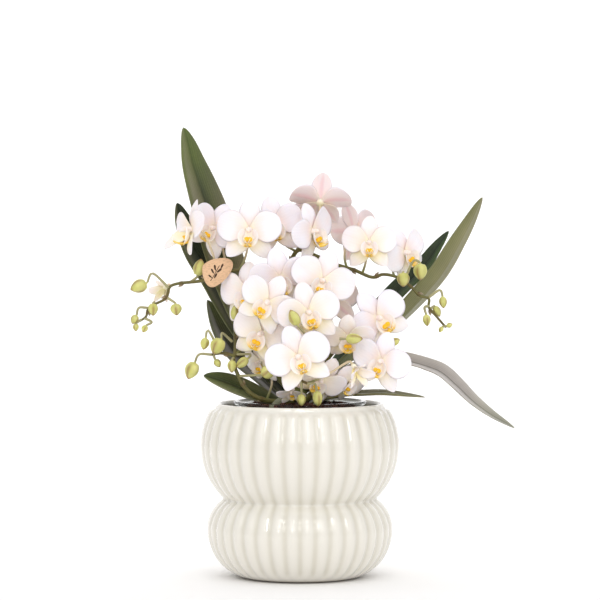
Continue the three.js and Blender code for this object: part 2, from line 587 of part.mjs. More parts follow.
// Each spike is a main stem with side branches, and carries stalked flowers and buds. Buds are given by
// their centre, the direction of the tip, length and width, and the points where the stalk leaves the stem
// and where it arches over.
const spikes = {
  spike_upper_left: {
    stems: [
      {
        line: [
          [-4, -8, 124], [-9, -14, 132], [-16, -16, 144], [-24, -16, 163], [-28, -16, 182],
          [-32, -16, 201], [-41, -16, 215], [-53, -16, 213], [-68, -17, 208], [-90, -17, 204],
          [-93, -17, 196], [-105, -17, 189], [-107, -17, 183], [-111, -17, 180],
        ],
        start: 2,
        end: 0.8,
      },
    ],
    carries: [
      "bloom_left_tip", "bloom_left_inner", "bloom_crown_left", "bloom_middle_left",
      "bloom_opening_left",
    ],
    buds: [
      {
        at: [-112, -17, 204], tip: [-1, 0, -0.4], size: [12.5, 9.5],
        from: [-91, -17, 203], over: [-103, -17, 213],
      },
      { at: [-102, -18, 188], tip: [0, 0, -1], size: [9, 7], from: [-101, -17, 193] },
      { at: [-86, -18, 188], tip: [0.1, 0, -1], size: [8.5, 8], from: [-92, -17, 196] },
      {
        at: [-115, -17, 181], tip: [-0.5, 0, -1], size: [7, 5.6],
        from: [-105, -17, 189], over: [-112, -17, 189],
      },
      { at: [-114, -17, 175.5], tip: [0, 0, -1], size: [5.5, 4.4], from: [-110, -17, 181] },
      {
        at: [-108, -17, 174.5], tip: [-0.5, 0, -1], size: [5.5, 4.6],
        from: [-108, -17, 182], over: [-103, -17, 179],
      },
      { at: [-70, -13, 217], tip: [0.2, 0, 1], size: [12.5, 8.5], from: [-76, -17, 207] },
    ],
  },
  spike_lower_left: {
    stems: [
      {
        line: [
          [-5, -8, 123], [-14, -18, 124], [-23, -22, 125], [-31, -24, 128], [-38, -25, 134],
          [-43, -25, 143], [-46, -25, 152], [-45, -24, 160], [-45, -22, 170], [-45, -22, 179],
        ],
        start: 1.9,
        end: 0.9,
      },
      { line: [[-45, -25, 156], [-54, -26, 158], [-61, -26, 157]], start: 1.3, end: 0.9 },
      {
        line: [
          [-45, -24, 156], [-39, -23, 163], [-31, -21.5, 174], [-24, -20, 184], [-21, -19, 197],
          [-18, -20, 208],
        ],
        start: 1.4,
        end: 0.9,
      },
    ],
    carries: ["bloom_middle_upper", "bloom_middle_front", "bloom_low_left", "bloom_low_side"],
    buds: [
      {
        at: [-75, -26, 146], tip: [-0.4, 0, -1], size: [13, 10],
        from: [-61, -26, 157], over: [-70, -26, 157],
      },
      {
        at: [-57, -31, 163], tip: [-0.5, 0, -1], size: [12.5, 10.5],
        from: [-47, -24, 166], over: [-54, -29, 172],
      },
      {
        at: [-66, -26, 164.5], tip: [-0.2, 0, -1], size: [8.5, 6.4],
        from: [-55, -26, 158], over: [-64, -26, 174],
      },
      { at: [-57, -26, 151], tip: [0.5, 0, -0.8], size: [6.4, 5], from: [-60, -26, 157] },
      { at: [-47, -29, 149], tip: [0, 0, -1], size: [9, 6.4], from: [-46, -25, 155] },
      {
        at: [-40, -29, 151.5], tip: [-0.8, 0, -0.6], size: [10.5, 6.6],
        from: [-45, -24, 157], over: [-34, -28, 157],
      },
      { at: [-45, -22, 186], tip: [0, 0, 1], size: [11, 6.6], from: [-45, -22, 179] },
      { at: [-22, -40, 146], tip: [0.5, -0.7, 0.4], size: [10.5, 9.6], from: [-42, -25, 142] },
    ],
  },
  spike_right: {
    stems: [
      {
        line: [
          [-1, 5, 127], [0, 9, 134], [-1, 10, 151], [-3, 10, 180], [-6, 8, 204], [-6, 4, 221],
          [-1, 0, 229], [6, -2, 227], [25, -4, 219], [38, -4, 215], [51, -4, 210], [58, -4, 212],
          [68, -4, 210], [77, -4, 204], [84, -4, 197], [90, -4, 195], [90, -4, 189], [95, -4, 183],
          [102, -4, 175],
        ],
        start: 2.1,
        end: 0.8,
      },
    ],
    carries: [
      "bloom_crown_middle", "bloom_crown_back", "bloom_crown_side", "bloom_top_back",
      "bloom_top_right", "bloom_right_face", "bloom_right_tip", "bloom_rear_left", "bloom_rear_right",
      "bloom_rear_low",
    ],
    buds: [
      { at: [84, -7, 214], tip: [0, 0, -1], size: [12, 10], from: [73, -4, 208], over: [80, -6, 222] },
      { at: [72, -9, 208.5], tip: [0, 0, -1], size: [10.5, 9], from: [70, -4, 210] },
      {
        at: [100, -4, 192.5], tip: [0.1, 0, -1], size: [8.4, 5.6],
        from: [90, -4, 196], over: [98, -4, 201],
      },
      {
        at: [88.5, -6, 180], tip: [0.1, 0, -1], size: [8.4, 5.6],
        from: [90, -4, 190], over: [87, -6, 189],
      },
      { at: [96, 0, 186], tip: [0.5, 0, -1], size: [8.4, 5.6], from: [91, -4, 188] },
      { at: [104.5, -4, 176.5], tip: [0.7, 0, 0.3], size: [4.4, 3.6], from: [101, -4, 176] },
      { at: [98.5, -4, 173.5], tip: [-0.5, 0, -0.8], size: [4.4, 3.4], from: [101, -4, 176] },
    ],
  },
  spike_front: {
    stems: [
      {
        line: [
          [0, -8, 120.5], [4, -15, 125], [10, -17, 132], [14, -18, 140], [19, -20, 153],
          [22, -22, 168], [20, -22, 184], [18, -22, 197],
        ],
        start: 1.9,
        end: 0.9,
      },
      { line: [[18, -19, 152], [27, -20, 163], [36, -18, 174], [43, -16, 180]], start: 1.4, end: 0.9 },
      {
        line: [
          [9, -17, 133], [2, -26, 141], [-2, -36, 145], [-4, -49, 144], [0, -53, 141], [5, -53, 138.5],
        ],
        start: 1.3,
        end: 0.9,
      },
    ],
    carries: [
      "bloom_heart_upper", "bloom_heart_lower", "bloom_flank_upper", "bloom_flank_lower",
      "bloom_front", "bloom_nodding", "bloom_opening", "bloom_skirt_middle", "bloom_skirt_right",
      "bloom_skirt_small",
    ],
    buds: [
      { at: [-4, -64, 184], tip: [-0.5, 0, 1], size: [12, 7.8], from: [10, -44, 160], over: [4, -62, 172] },
      { at: [37, -50, 169], tip: [1, 0, 0], size: [12, 7.4], from: [27, -50, 169] },
      { at: [1, -50, 127], tip: [0, 0, -1], size: [8.4, 6.2], from: [1, -53, 140] },
      {
        at: [12, -50, 128], tip: [0.1, 0, -1], size: [11, 7],
        from: [5, -53, 138.5], over: [10, -53, 138.5],
      },
      {
        at: [66, -24, 166], tip: [0.8, 0, 0.4], size: [7, 5.6],
        from: [34, -18.5, 171], over: [52, -20, 159],
      },
    ],
  },
};

// A bud on its stalk: sepals that close to a blunt point. The stalk runs from the stem, over its top where
// it arches, to the bud's base.
function stalkedBud({ at, tip, size: [length, width], from, over }) {
  const along = vector(tip).normalize();
  const onAxis = (t) => vector(at).addScaledVector(along, length * (t - 0.5));
  const stalk = over ? [vector(from), vector(over)] : [vector(from)];
  const points = [...stalk, onAxis(0), onAxis(0.25), onAxis(0.62), onAxis(1)];
  const radii = [...stalk.map(() => pedicelRadius), pedicelRadius, 0.42 * width, 0.48 * width, 0];
  return rod(points, radii, 5);
}

function nearestOnStems(curves, goal) {
  let best = null;
  for (const curve of curves) {
    for (const point of curve.getSpacedPoints(60)) {
      if (!best || point.distanceTo(goal) < best.distanceTo(goal)) best = point;
    }
  }
  return best;
}

// The stalk of a flower leaves the stem below it, swings out behind it and comes straight up to its back.
function flowerStalk(curves, { at, looks }) {
  const look = lookOf(looks);
  const end = vector(at).addScaledVector(look, -stalkLength);
  const behind = end.clone().addScaledVector(look, -3.5);
  const start = nearestOnStems(curves, behind.clone().add(V(0, 0, -stalkDrop)));
  const swing = stalkSwing * start.distanceTo(end);
  const knee = start.clone().lerp(behind, 0.5).addScaledVector(look, -swing).add(V(0, 0, -swing));
  return rod([start, knee, behind, end], Array(4).fill(pedicelRadius), 3);
}

function spike({ stems, carries, buds }) {
  const curveOf = ({ line }) => new THREE.CatmullRomCurve3(line.map(vector), false, "centripetal");
  const curves = stems.map(curveOf);
  const pieces = stems.map(({ line, start, end }) =>
    rod(line.map(vector), taper(start, end, line.length), 5));
  for (const name of carries) pieces.push(flowerStalk(curves, blooms[name]));
  for (const plan of buds) pieces.push(stalkedBud(plan));
  return mainBody(joined(pieces).subtract(clearOfCrown));
}

for (const [name, plan] of Object.entries(spikes)) {
  addPiece(name, geometryOf(spike(plan)), finish(0x6f7a3c, 0.5));
}

// Card tag, held on the upper left spike by a loop of the same card

const tag = { centre: [-57, -19.6, 214], thickness: 0.8, cornerSegments: 3 };
const tagLoop = { centre: [-57.5, -16.25, 211.9], stemRadius: 1.75, wall: 1.1, width: 4 };
const stemAtTag = V(-0.97, -0.02, -0.24).normalize();
// The card is a triangle with round corners: each side runs to a point by way of the corner before it.
const tagStart = [-10.4, 4.5];
const tagSides = [
  { corner: [-6, 9.6], to: [4, 9.8] },
  { corner: [11.6, 9.6], to: [10.4, 3.4] },
  { corner: [7.6, -5], to: [-1.6, -10] },
  { corner: [-6, -12], to: [-8.8, -6.8] },
  { corner: [-11.6, -1], to: tagStart },
];

function cardTag() {
  const outline = new THREE.Shape().moveTo(...tagStart);
  for (const { corner, to } of tagSides) outline.quadraticCurveTo(...corner, ...to);
  const { thickness: depth, cornerSegments: curveSegments } = tag;
  const card = new THREE.ExtrudeGeometry(outline, { depth, bevelEnabled: false, curveSegments });
  card.rotateX(Math.PI / 2);
  card.translate(...tag.centre);
  const band = (radius, width) => {
    const ends = [-width / 2, width / 2].map((x) => vector(tagLoop.centre).addScaledVector(stemAtTag, x));
    return rod(ends, [radius, radius], 8);
  };
  const opening = tagLoop.stemRadius + seatGap;
  const loop = band(opening + tagLoop.wall, tagLoop.width);
  return mainBody(joined([solid(card), loop]).subtract(band(opening, 3 * tagLoop.width)));
}

addPiece("card_tag", geometryOf(cardTag()), finish(0xe3bf9b, 0.85));

export default orchid;
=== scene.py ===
import math
import random

import bmesh
import bpy
from mathutils import Matrix, Vector, noise


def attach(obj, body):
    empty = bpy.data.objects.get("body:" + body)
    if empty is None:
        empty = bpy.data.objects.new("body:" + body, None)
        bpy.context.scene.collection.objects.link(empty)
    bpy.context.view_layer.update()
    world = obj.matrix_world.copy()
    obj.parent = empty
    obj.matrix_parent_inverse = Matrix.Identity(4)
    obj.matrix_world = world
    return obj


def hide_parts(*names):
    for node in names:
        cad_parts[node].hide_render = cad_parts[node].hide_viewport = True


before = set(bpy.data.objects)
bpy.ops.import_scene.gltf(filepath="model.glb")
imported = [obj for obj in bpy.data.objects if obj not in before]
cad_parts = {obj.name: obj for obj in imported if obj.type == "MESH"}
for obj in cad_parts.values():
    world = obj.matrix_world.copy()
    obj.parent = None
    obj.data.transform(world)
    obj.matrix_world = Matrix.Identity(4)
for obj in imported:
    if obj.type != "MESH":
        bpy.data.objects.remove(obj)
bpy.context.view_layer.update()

# A potted moth orchid. Everything is worked out in millimetres and turned to metres when a mesh is made.
mm = 0.001
bpy.context.scene.view_settings.view_transform = "Standard"  # keeps the whites of petals and glaze clean


# Colours, paths and small sums

def linearColour(hexValue):
    channels = [int(hexValue[i:i + 2], 16) / 255 for i in (0, 2, 4)]
    return tuple(c / 12.92 if c <= 0.04045 else ((c + 0.055) / 1.055) ** 2.4 for c in channels)


def between(low, high, value):  # 0 below low, 1 above high, and smooth in between
    share = min(1, max(0, (value - low) / (high - low)))
    return share * share * (3 - 2 * share)


def mixed(first, second, share):
    return tuple(a + (b - a) * share for a, b in zip(first, second))


def splineAt(points, share):  # a centripetal Catmull-Rom curve, as the stems and leaves follow
    place = share * (len(points) - 1)
    index = min(int(place), len(points) - 2)
    w = place - index
    b, c = points[index], points[index + 1]
    a = points[index - 1] if index > 0 else b * 2 - c
    d = points[index + 2] if index + 2 < len(points) else c * 2 - b
    before, here, after = (math.sqrt((q - p).length) for p, q in ((a, b), (b, c), (c, d)))
    leave = ((b - a) / before - (c - a) / (before + here)) * here + (c - b)
    arrive = ((d - c) / after - (d - b) / (here + after)) * here + (c - b)
    w2, w3 = w * w, w * w * w
    return b * (2 * w3 - 3 * w2 + 1) + leave * (w3 - 2 * w2 + w) + c * (3 * w2 - 2 * w3) + arrive * (w3
                                                                                                     - w2)


def evenPath(points, shares):  # places and directions at shares of the curve's length
    points = [Vector(p) for p in points]
    steps = 40 * (len(points) - 1)
    dense = [splineAt(points, i / steps) for i in range(steps + 1)]
    lengths = [0]
    for p, q in zip(dense, dense[1:]):
        lengths.append(lengths[-1] + (q - p).length)
    found = []
    index = 0
    for share in shares:
        goal = share * lengths[-1]
        while index < steps - 1 and lengths[index + 1] < goal:
            index += 1
        w = (goal - lengths[index]) / (lengths[index + 1] - lengths[index])
        found.append((dense[index].lerp(dense[index + 1], w),
                      (dense[index + 1] - dense[index]).normalized()))
    return found, lengths[-1]


# Building meshes: a shell gathers points, faces, a tint for each point and a place on the surface in mm

def newShell():
    return {"points": [], "faces": [], "tints": [], "places": []}


def addRings(shell, rings, tints, places):
    # A closed skin over rings of points with the same count; a ring of one point closes to a tip.
    start = []
    for ring, ringTints, ringPlaces in zip(rings, tints, places):
        start.append(len(shell["points"]))
        shell["points"] += ring
        shell["tints"] += ringTints
        shell["places"] += ringPlaces
    for i in range(len(rings) - 1):
        here, there = start[i], start[i + 1]
        count = max(len(rings[i]), len(rings[i + 1]))
        for k in range(count):
            n = (k + 1) % count
            if len(rings[i]) == 1:
                shell["faces"].append((here, there + n, there + k))
            elif len(rings[i + 1]) == 1:
                shell["faces"].append((here + k, here + n, there))
            else:
                shell["faces"].append((here + k, here + n, there + n, there + k))
    if len(rings[0]) > 2:
        shell["faces"].append(tuple(start[0] + k for k in reversed(range(len(rings[0])))))
    if len(rings[-1]) > 2:
        shell["faces"].append(tuple(start[-1] + k for k in range(len(rings[-1]))))


def addRod(shell, path, radii, sides, paint, shape=None):
    # A round rod; paint gives a tint from the share along it, and shape changes the radius round it.
    side = Vector((0.3, 1, 0.1))
    rings, tints, places = [], [], []
    run = 0
    for i, ((centre, along), radius) in enumerate(zip(path, radii)):
        share = i / (len(path) - 1)
        run += (centre - path[i - 1][0]).length if i else 0
        if radius == 0:
            rings.append([centre])
            tints.append([paint(share, 0)])
            places.append([(0, run)])
            continue
        side = (side - along * side.dot(along)).normalized()
        other = along.cross(side)
        turns = [2 * math.pi * k / sides for k in range(sides)]
        reach = [radius * (shape(share, turn) if shape else 1) for turn in turns]
        rings.append([centre + side * (r * math.cos(a)) + other * (r * math.sin(a))
                      for r, a in zip(reach, turns)])
        tints.append([paint(share, turn) for turn in turns])
        places.append([(radius * turn, run) for turn in turns])
    addRings(shell, rings, tints, places)


def addSheet(shell, shares, columns, middle, face, half, paint):
    # A thin blade round its middle surface: front and back share the rim, which is rounded, and the last
    # share is the tip.
    rings, tints, places = [], [], []
    for t in shares[:-1]:
        front, back, frontTints, backTints, frontPlaces, backPlaces = [], [], [], [], [], []
        up = face(t)
        for k in range(columns + 1):
            s = 2 * k / columns - 1
            point, width = middle(t, s)
            depth = half * math.sqrt(max(0, 1 - s ** 6)) * min(1, 4 * (1 - t)) ** 0.5
            front.append(point + up * depth)
            frontTints.append(paint(t, s, 1))
            frontPlaces.append((s * width, t))
            if 0 < k < columns:
                back.append(point - up * depth)
                backTints.append(paint(t, s, -1))
                backPlaces.append((s * width, t))
        rings.append(front + back[::-1])
        tints.append(frontTints + backTints[::-1])
        places.append(frontPlaces + backPlaces[::-1])
    rings.append([middle(1, 0)[0]])
    tints.append([paint(1, 0, 1)])
    places.append([(0, 1)])
    addRings(shell, rings, tints, places)


def camelName(node):
    first, *rest = node.split("_")
    return first + "".join(word.capitalize() for word in rest)


def makePiece(name, shell, material, node, toWorld=None):
    mesh = bpy.data.meshes.new(name)
    points = [(toWorld @ p if toWorld else p) * mm for p in shell["points"]]
    mesh.from_pydata(points, [], shell["faces"])
    tint = mesh.color_attributes.new("tint", "FLOAT_COLOR", "POINT")
    tint.data.foreach_set("color", [c for t in shell["tints"] for c in (*t, 1)])
    place = mesh.uv_layers.new(name="place")
    corners = [0] * len(mesh.loops)
    mesh.loops.foreach_get("vertex_index", corners)
    place.data.foreach_set("uv", [c for corner in corners for c in shell["places"][corner]])
    work = bmesh.new()
    work.from_mesh(mesh)
    bmesh.ops.recalc_face_normals(work, faces=work.faces)
    work.to_mesh(mesh)
    work.free()
    mesh.polygons.foreach_set("use_smooth", [True] * len(mesh.polygons))
    mesh.materials.append(material)
    piece = bpy.data.objects.new(name, mesh)
    bpy.context.collection.objects.link(piece)
    return claim(piece, node)


def claim(piece, node):
    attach(piece, "root")
    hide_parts(node)
    return piece


# Materials

def newMaterial(name):
    material = bpy.data.materials.new(name)
    material.use_nodes = True
    material.node_tree.nodes.clear()
    return material, material.node_tree


def addNode(tree, kind, settings=None, **sockets):
    # Adds a node, sets its own settings, and sets or links its inputs, which are named by s and a number.
    node = tree.nodes.new(kind)
    for name, value in (settings or {}).items():
        setattr(node, name, value)
    for name, value in sockets.items():
        socket = node.inputs[int(name[1:])] if name[1:].isdigit() else node.inputs[name.replace("_", " ")]
        if isinstance(value, bpy.types.NodeSocket):
            tree.links.new(value, socket)
        else:
            socket.default_value = value
    return node


def finishMaterial(tree, surface):
    addNode(tree, "ShaderNodeOutputMaterial", Surface=surface.outputs[0])


def setRamp(node, stops):
    ramp = node.color_ramp
    while len(ramp.elements) > len(stops):
        ramp.elements.remove(ramp.elements[-1])
    while len(ramp.elements) < len(stops):
        ramp.elements.new(1)
    for element, (position, colour) in zip(ramp.elements, stops):
        element.position = position
        element.color = (*colour, 1) if len(colour) == 3 else colour
    return node


print("frame loaded, tools ready")


# Cachepot: glazed stoneware, cast in a ribbed mould with two bellies

pot = {
    "height": 122, "ribs": 38, "ribDepth": 1.3, "footRadius": 40, "mouthRadius": 56,
    "floor": 7, "floorRadius": 38, "wall": 5.5, "waistHeight": 54.5, "columnsPerRib": 12,
    "upperBelly": (19.9, 92, 49.8), "lowerBelly": (40, 33.5, 25), "footCurve": (32, 33, 34.5),
    "glaze": "e7e3d9", "glazeSlopes": "e3dfd4", "glazeInGrooves": "d7d2c4", "glazeFoot": "c9bda8",
}


def bellyRadius(z):
    centre, height, radius = pot["upperBelly"]
    upper = centre + math.sqrt(max(0, radius ** 2 - (z - height) ** 2))
    centre, height, radius = pot["lowerBelly"]
    if z < height:
        centre, width, drop = pot["footCurve"]
        return centre + width * math.sqrt(max(0, 1 - ((z - height) / drop) ** 2))
    lower = centre + math.sqrt(max(0, radius ** 2 - (z - height) ** 2))
    if z > pot["waistHeight"] + 8:
        return upper
    sharpness = 0.8  # the two bellies meet in a small round waist, not a crease
    return math.log(math.exp(sharpness * (upper - 50))
                    + math.exp(sharpness * (lower - 50))) / sharpness + 50


def potProfile():
    # From the middle of the foot, up the outside, over the rim and down to the middle of the floor. Each
    # point has a mark: 1 on the outer wall, where the ribs are.
    outside = [(0, 0, 0), (20, 0, 0), (pot["footRadius"] - 1.5, 0, 0), (pot["footRadius"] - 0.3, 0.4, 1)]
    z = 1.2
    while z < pot["height"] - 4:
        outside.append((bellyRadius(z), z, 1))
        z += 0.8 if abs(z - pot["waistHeight"]) < 5 or z < 12 else 1.9
    lip = [(59.5, 118.9, 1), (59.35, 120.2, 1), (59.0, 121.2, 0), (58.4, 121.85, 0), (57.7, 122, 0),
           (57.0, 121.75, 0), (56.4, 121.0, 0), (56.1, 119.8, 0)]
    inside = [(pot["mouthRadius"] + 0.1, 117, 0)]
    for z in (112, 104, 92, 80, 68, 60, 54.5, 50, 42, 33.5, 26, 18, 11):
        wall = bellyRadius(z) - pot["wall"]
        inside.append((min(wall, 56 + (117 - z) * 0.5) if z > 100 else wall, z, 0))
    return outside + lip + inside + [(pot["floorRadius"], pot["floor"], 0), (19, 7, 0), (0, 7, 0)]


def turnedMesh(name, profile, columns):
    # A lathe of (radius, height, mark); the mark is kept on the points as outerWall.
    mesh = bpy.data.meshes.new(name)
    points, marks, faces, starts = [], [], [], []
    for radius, z, mark in profile:
        starts.append(len(points))
        count = columns if radius > 0 else 1
        for k in range(count):
            turn = 2 * math.pi * k / columns
            points.append((radius * math.cos(turn) * mm, radius * math.sin(turn) * mm, z * mm))
            marks.append(mark)
    for i in range(len(profile) - 1):
        here, there = starts[i], starts[i + 1]
        for k in range(columns):
            n = (k + 1) % columns
            if profile[i][0] == 0:
                faces.append((here, there + n, there + k))
            elif profile[i + 1][0] == 0:
                faces.append((here + k, here + n, there))
            else:
                faces.append((here + k, here + n, there + n, there + k))
    mesh.from_pydata(points, [], faces)
    attribute = mesh.attributes.new("outerWall", "FLOAT", "POINT")
    attribute.data.foreach_set("value", marks)
    mesh.polygons.foreach_set("use_smooth", [True] * len(faces))
    return mesh


def newTree(name, inputs):
    # A Geometry Nodes tree with a geometry in and out, and named inputs: (name, kind, value).
    tree = bpy.data.node_groups.new(name, "GeometryNodeTree")
    tree.interface.new_socket("Geometry", in_out="OUTPUT", socket_type="NodeSocketGeometry")
    tree.interface.new_socket("Geometry", in_out="INPUT", socket_type="NodeSocketGeometry")
    for label, kind, _ in inputs:
        tree.interface.new_socket(label, in_out="INPUT", socket_type=kind)
    return tree, tree.nodes.new("NodeGroupInput")


def growPiece(name, mesh, tree, inputs):
    # Runs the tree on a mesh and keeps the result as a plain mesh on a new object.
    carrier = bpy.data.objects.new(name + "Carrier", mesh)
    bpy.context.collection.objects.link(carrier)
    modifier = carrier.modifiers.new("grow", "NODES")
    modifier.node_group = tree
    for item in tree.interface.items_tree:
        for label, _, value in inputs:
            if item.item_type == "SOCKET" and item.in_out == "INPUT" and item.name == label:
                modifier[item.identifier] = value
    evaluated = carrier.evaluated_get(bpy.context.evaluated_depsgraph_get())
    made = bpy.data.meshes.new_from_object(evaluated)
    carrier.modifiers.remove(modifier)
    bpy.data.objects.remove(carrier)
    made.name = name
    piece = bpy.data.objects.new(name, made)
    bpy.context.collection.objects.link(piece)
    return piece


def glazedStoneware():
    # A cream gloss glaze, poured over cast ribs: it runs thin and pale on their crests, and pools a little
    # darker and yellower in the grooves. The eye sees crisp upright highlights and a faintly uneven skin.
    material, tree = newMaterial("glazedStoneware")
    where = addNode(tree, "ShaderNodeTexCoord").outputs["Object"]
    groove = addNode(tree, "ShaderNodeAttribute", {"attribute_name": "groove"}).outputs["Fac"]
    pooled = addNode(tree, "ShaderNodeMath", {"operation": "POWER"}, s0=groove, s1=1.1)
    cloud = addNode(tree, "ShaderNodeTexNoise", Vector=where, Scale=55.0, Detail=3.0)  # drifts of 18 mm
    drift = addNode(tree, "ShaderNodeMath", {"operation": "MULTIPLY_ADD"}, s0=cloud.outputs[0], s1=0.3,
                    s2=-0.15)
    share = addNode(tree, "ShaderNodeMath", {"operation": "ADD", "use_clamp": True},
                    s0=pooled.outputs[0], s1=drift.outputs[0])
    colour = setRamp(addNode(tree, "ShaderNodeValToRGB", Fac=share.outputs[0]),
                     [(0, linearColour(pot["glaze"])), (0.5, linearColour(pot["glazeSlopes"])),
                      (1, linearColour(pot["glazeInGrooves"]))])
    height = addNode(tree, "ShaderNodeSeparateXYZ", s0=where).outputs[2]
    foot = addNode(tree, "ShaderNodeMapRange", s0=height, s1=0.0004, s2=0.0022, s3=1.0, s4=0.0)
    body = addNode(tree, "ShaderNodeMix", {"data_type": "RGBA"}, s0=foot.outputs[0], s6=colour.outputs[0],
                   s7=(*linearColour(pot["glazeFoot"]), 1))
    pinholes = addNode(tree, "ShaderNodeTexNoise", Vector=where, Scale=900.0, Detail=2.0)  # about 1 mm
    waves = addNode(tree, "ShaderNodeTexNoise", Vector=where, Scale=130.0, Detail=1.0)  # flow of 8 mm
    skin = addNode(tree, "ShaderNodeMath", {"operation": "MULTIPLY_ADD"}, s0=pinholes.outputs[0], s1=0.12,
                   s2=waves.outputs[0])
    bump = addNode(tree, "ShaderNodeBump", Strength=0.1, Distance=0.0006, Height=skin.outputs[0])
    rough = addNode(tree, "ShaderNodeMapRange", s0=cloud.outputs[0], s1=0.3, s2=0.7, s3=0.06, s4=0.13)
    surface = addNode(tree, "ShaderNodeBsdfPrincipled", Base_Color=body.outputs[2],
                      Roughness=rough.outputs[0],
                      IOR=1.52, Normal=bump.outputs[0], Coat_Weight=0.8, Coat_Roughness=0.03)
    finishMaterial(tree, surface)
    return material


def makeCachepot():
    glaze = glazedStoneware()
    inputs = [("Ribs", "NodeSocketFloat", float(pot["ribs"])),
              ("Rib depth", "NodeSocketFloat", pot["ribDepth"] * mm),
              ("Groove sharpness", "NodeSocketFloat", 1.25), ("Rim height", "NodeSocketFloat", 0.121),
              ("Rim fade", "NodeSocketFloat", 0.006), ("Foot fade", "NodeSocketFloat", 0.009)]
    tree, given = newTree("ribbedWall", inputs)
    made = given.outputs
    position = addNode(tree, "GeometryNodeInputPosition").outputs[0]
    axes = addNode(tree, "ShaderNodeSeparateXYZ", s0=position).outputs
    turn = addNode(tree, "ShaderNodeMath", {"operation": "ARCTAN2"}, s0=axes[1], s1=axes[0])
    phase = addNode(tree, "ShaderNodeMath", {"operation": "MULTIPLY"}, s0=turn.outputs[0], s1=made["Ribs"])
    wave = addNode(tree, "ShaderNodeMath", {"operation": "COSINE"}, s0=phase.outputs[0])
    valley = addNode(tree, "ShaderNodeMath", {"operation": "MULTIPLY_ADD"}, s0=wave.outputs[0], s1=-0.5,
                     s2=0.5)
    groove = addNode(tree, "ShaderNodeMath", {"operation": "POWER"}, s0=valley.outputs[0],
                     s1=made["Groove sharpness"])
    low = addNode(tree, "ShaderNodeMapRange", {"interpolation_type": "SMOOTHSTEP"}, s0=axes[2], s1=0.0008,
                  s2=made["Foot fade"])
    fadeStart = addNode(tree, "ShaderNodeMath", {"operation": "SUBTRACT"}, s0=made["Rim height"],
                        s1=made["Rim fade"])
    high = addNode(tree, "ShaderNodeMapRange", {"interpolation_type": "SMOOTHSTEP"}, s0=axes[2],
                   s1=made["Rim height"], s2=fadeStart.outputs[0])
    wall = addNode(tree, "GeometryNodeInputNamedAttribute", {"data_type": "FLOAT"}, s0="outerWall")
    ends = addNode(tree, "ShaderNodeMath", {"operation": "MULTIPLY"}, s0=low.outputs[0], s1=high.outputs[0])
    held = addNode(tree, "ShaderNodeMath", {"operation": "MULTIPLY"}, s0=ends.outputs[0],
                   s1=wall.outputs[0])
    deep = addNode(tree, "ShaderNodeMath", {"operation": "MULTIPLY"}, s0=groove.outputs[0],
                   s1=held.outputs[0])
    inward = addNode(tree, "ShaderNodeMath", {"operation": "MULTIPLY"}, s0=deep.outputs[0],
                     s1=made["Rib depth"])
    outwards = addNode(tree, "ShaderNodeVectorMath", {"operation": "MULTIPLY"}, s0=position, s1=(-1, -1, 0))
    unit = addNode(tree, "ShaderNodeVectorMath", {"operation": "NORMALIZE"}, s0=outwards.outputs[0])
    shift = addNode(tree, "ShaderNodeVectorMath", {"operation": "SCALE"}, s0=unit.outputs[0])
    tree.links.new(inward.outputs[0], shift.inputs["Scale"])
    ribbed = addNode(tree, "GeometryNodeSetPosition", Geometry=made["Geometry"], Offset=shift.outputs[0])
    kept = addNode(tree, "GeometryNodeStoreNamedAttribute", {"data_type": "FLOAT", "domain": "POINT"},
                   Geometry=ribbed.outputs[0], Name="groove", Value=deep.outputs[0])
    real = addNode(tree, "GeometryNodeRealizeInstances", s0=kept.outputs[0])
    dressed = addNode(tree, "GeometryNodeSetMaterial", Geometry=real.outputs[0], Material=glaze)
    addNode(tree, "NodeGroupOutput", s0=dressed.outputs[0])
    columns = pot["ribs"] * pot["columnsPerRib"]
    piece = growPiece("cachepotGlazed", turnedMesh("potBody", potProfile(), columns), tree, inputs)
    return claim(piece, "cachepot")


makeCachepot()
print("cachepot done")


# Grower pot: thin clear plastic, only its rolled lip shows inside the cachepot

growerPot = {"topRadius": 44, "baseRadius": 35, "wall": 1.1, "top": 123.5, "floor": 7.3, "lipRadius": 46.5,
             "lipHeight": 3, "columns": 128, "plastic": "f4f7f5"}


def clearPlastic():
    # Blow-moulded clear polypropylene: see-through with a faint haze and small scuffs.
    material, tree = newMaterial("clearPolypropylene")
    where = addNode(tree, "ShaderNodeTexCoord").outputs["Object"]
    scuff = addNode(tree, "ShaderNodeTexNoise", Vector=where, Scale=400.0, Detail=3.0)  # marks of 2 mm
    rough = addNode(tree, "ShaderNodeMapRange", s0=scuff.outputs[0], s1=0.35, s2=0.7, s3=0.02, s4=0.07)
    surface = addNode(tree, "ShaderNodeBsdfPrincipled", Base_Color=(*linearColour(growerPot["plastic"]), 1),
                      Roughness=rough.outputs[0], IOR=1.22, Transmission_Weight=1.0)
    finishMaterial(tree, surface)
    return material


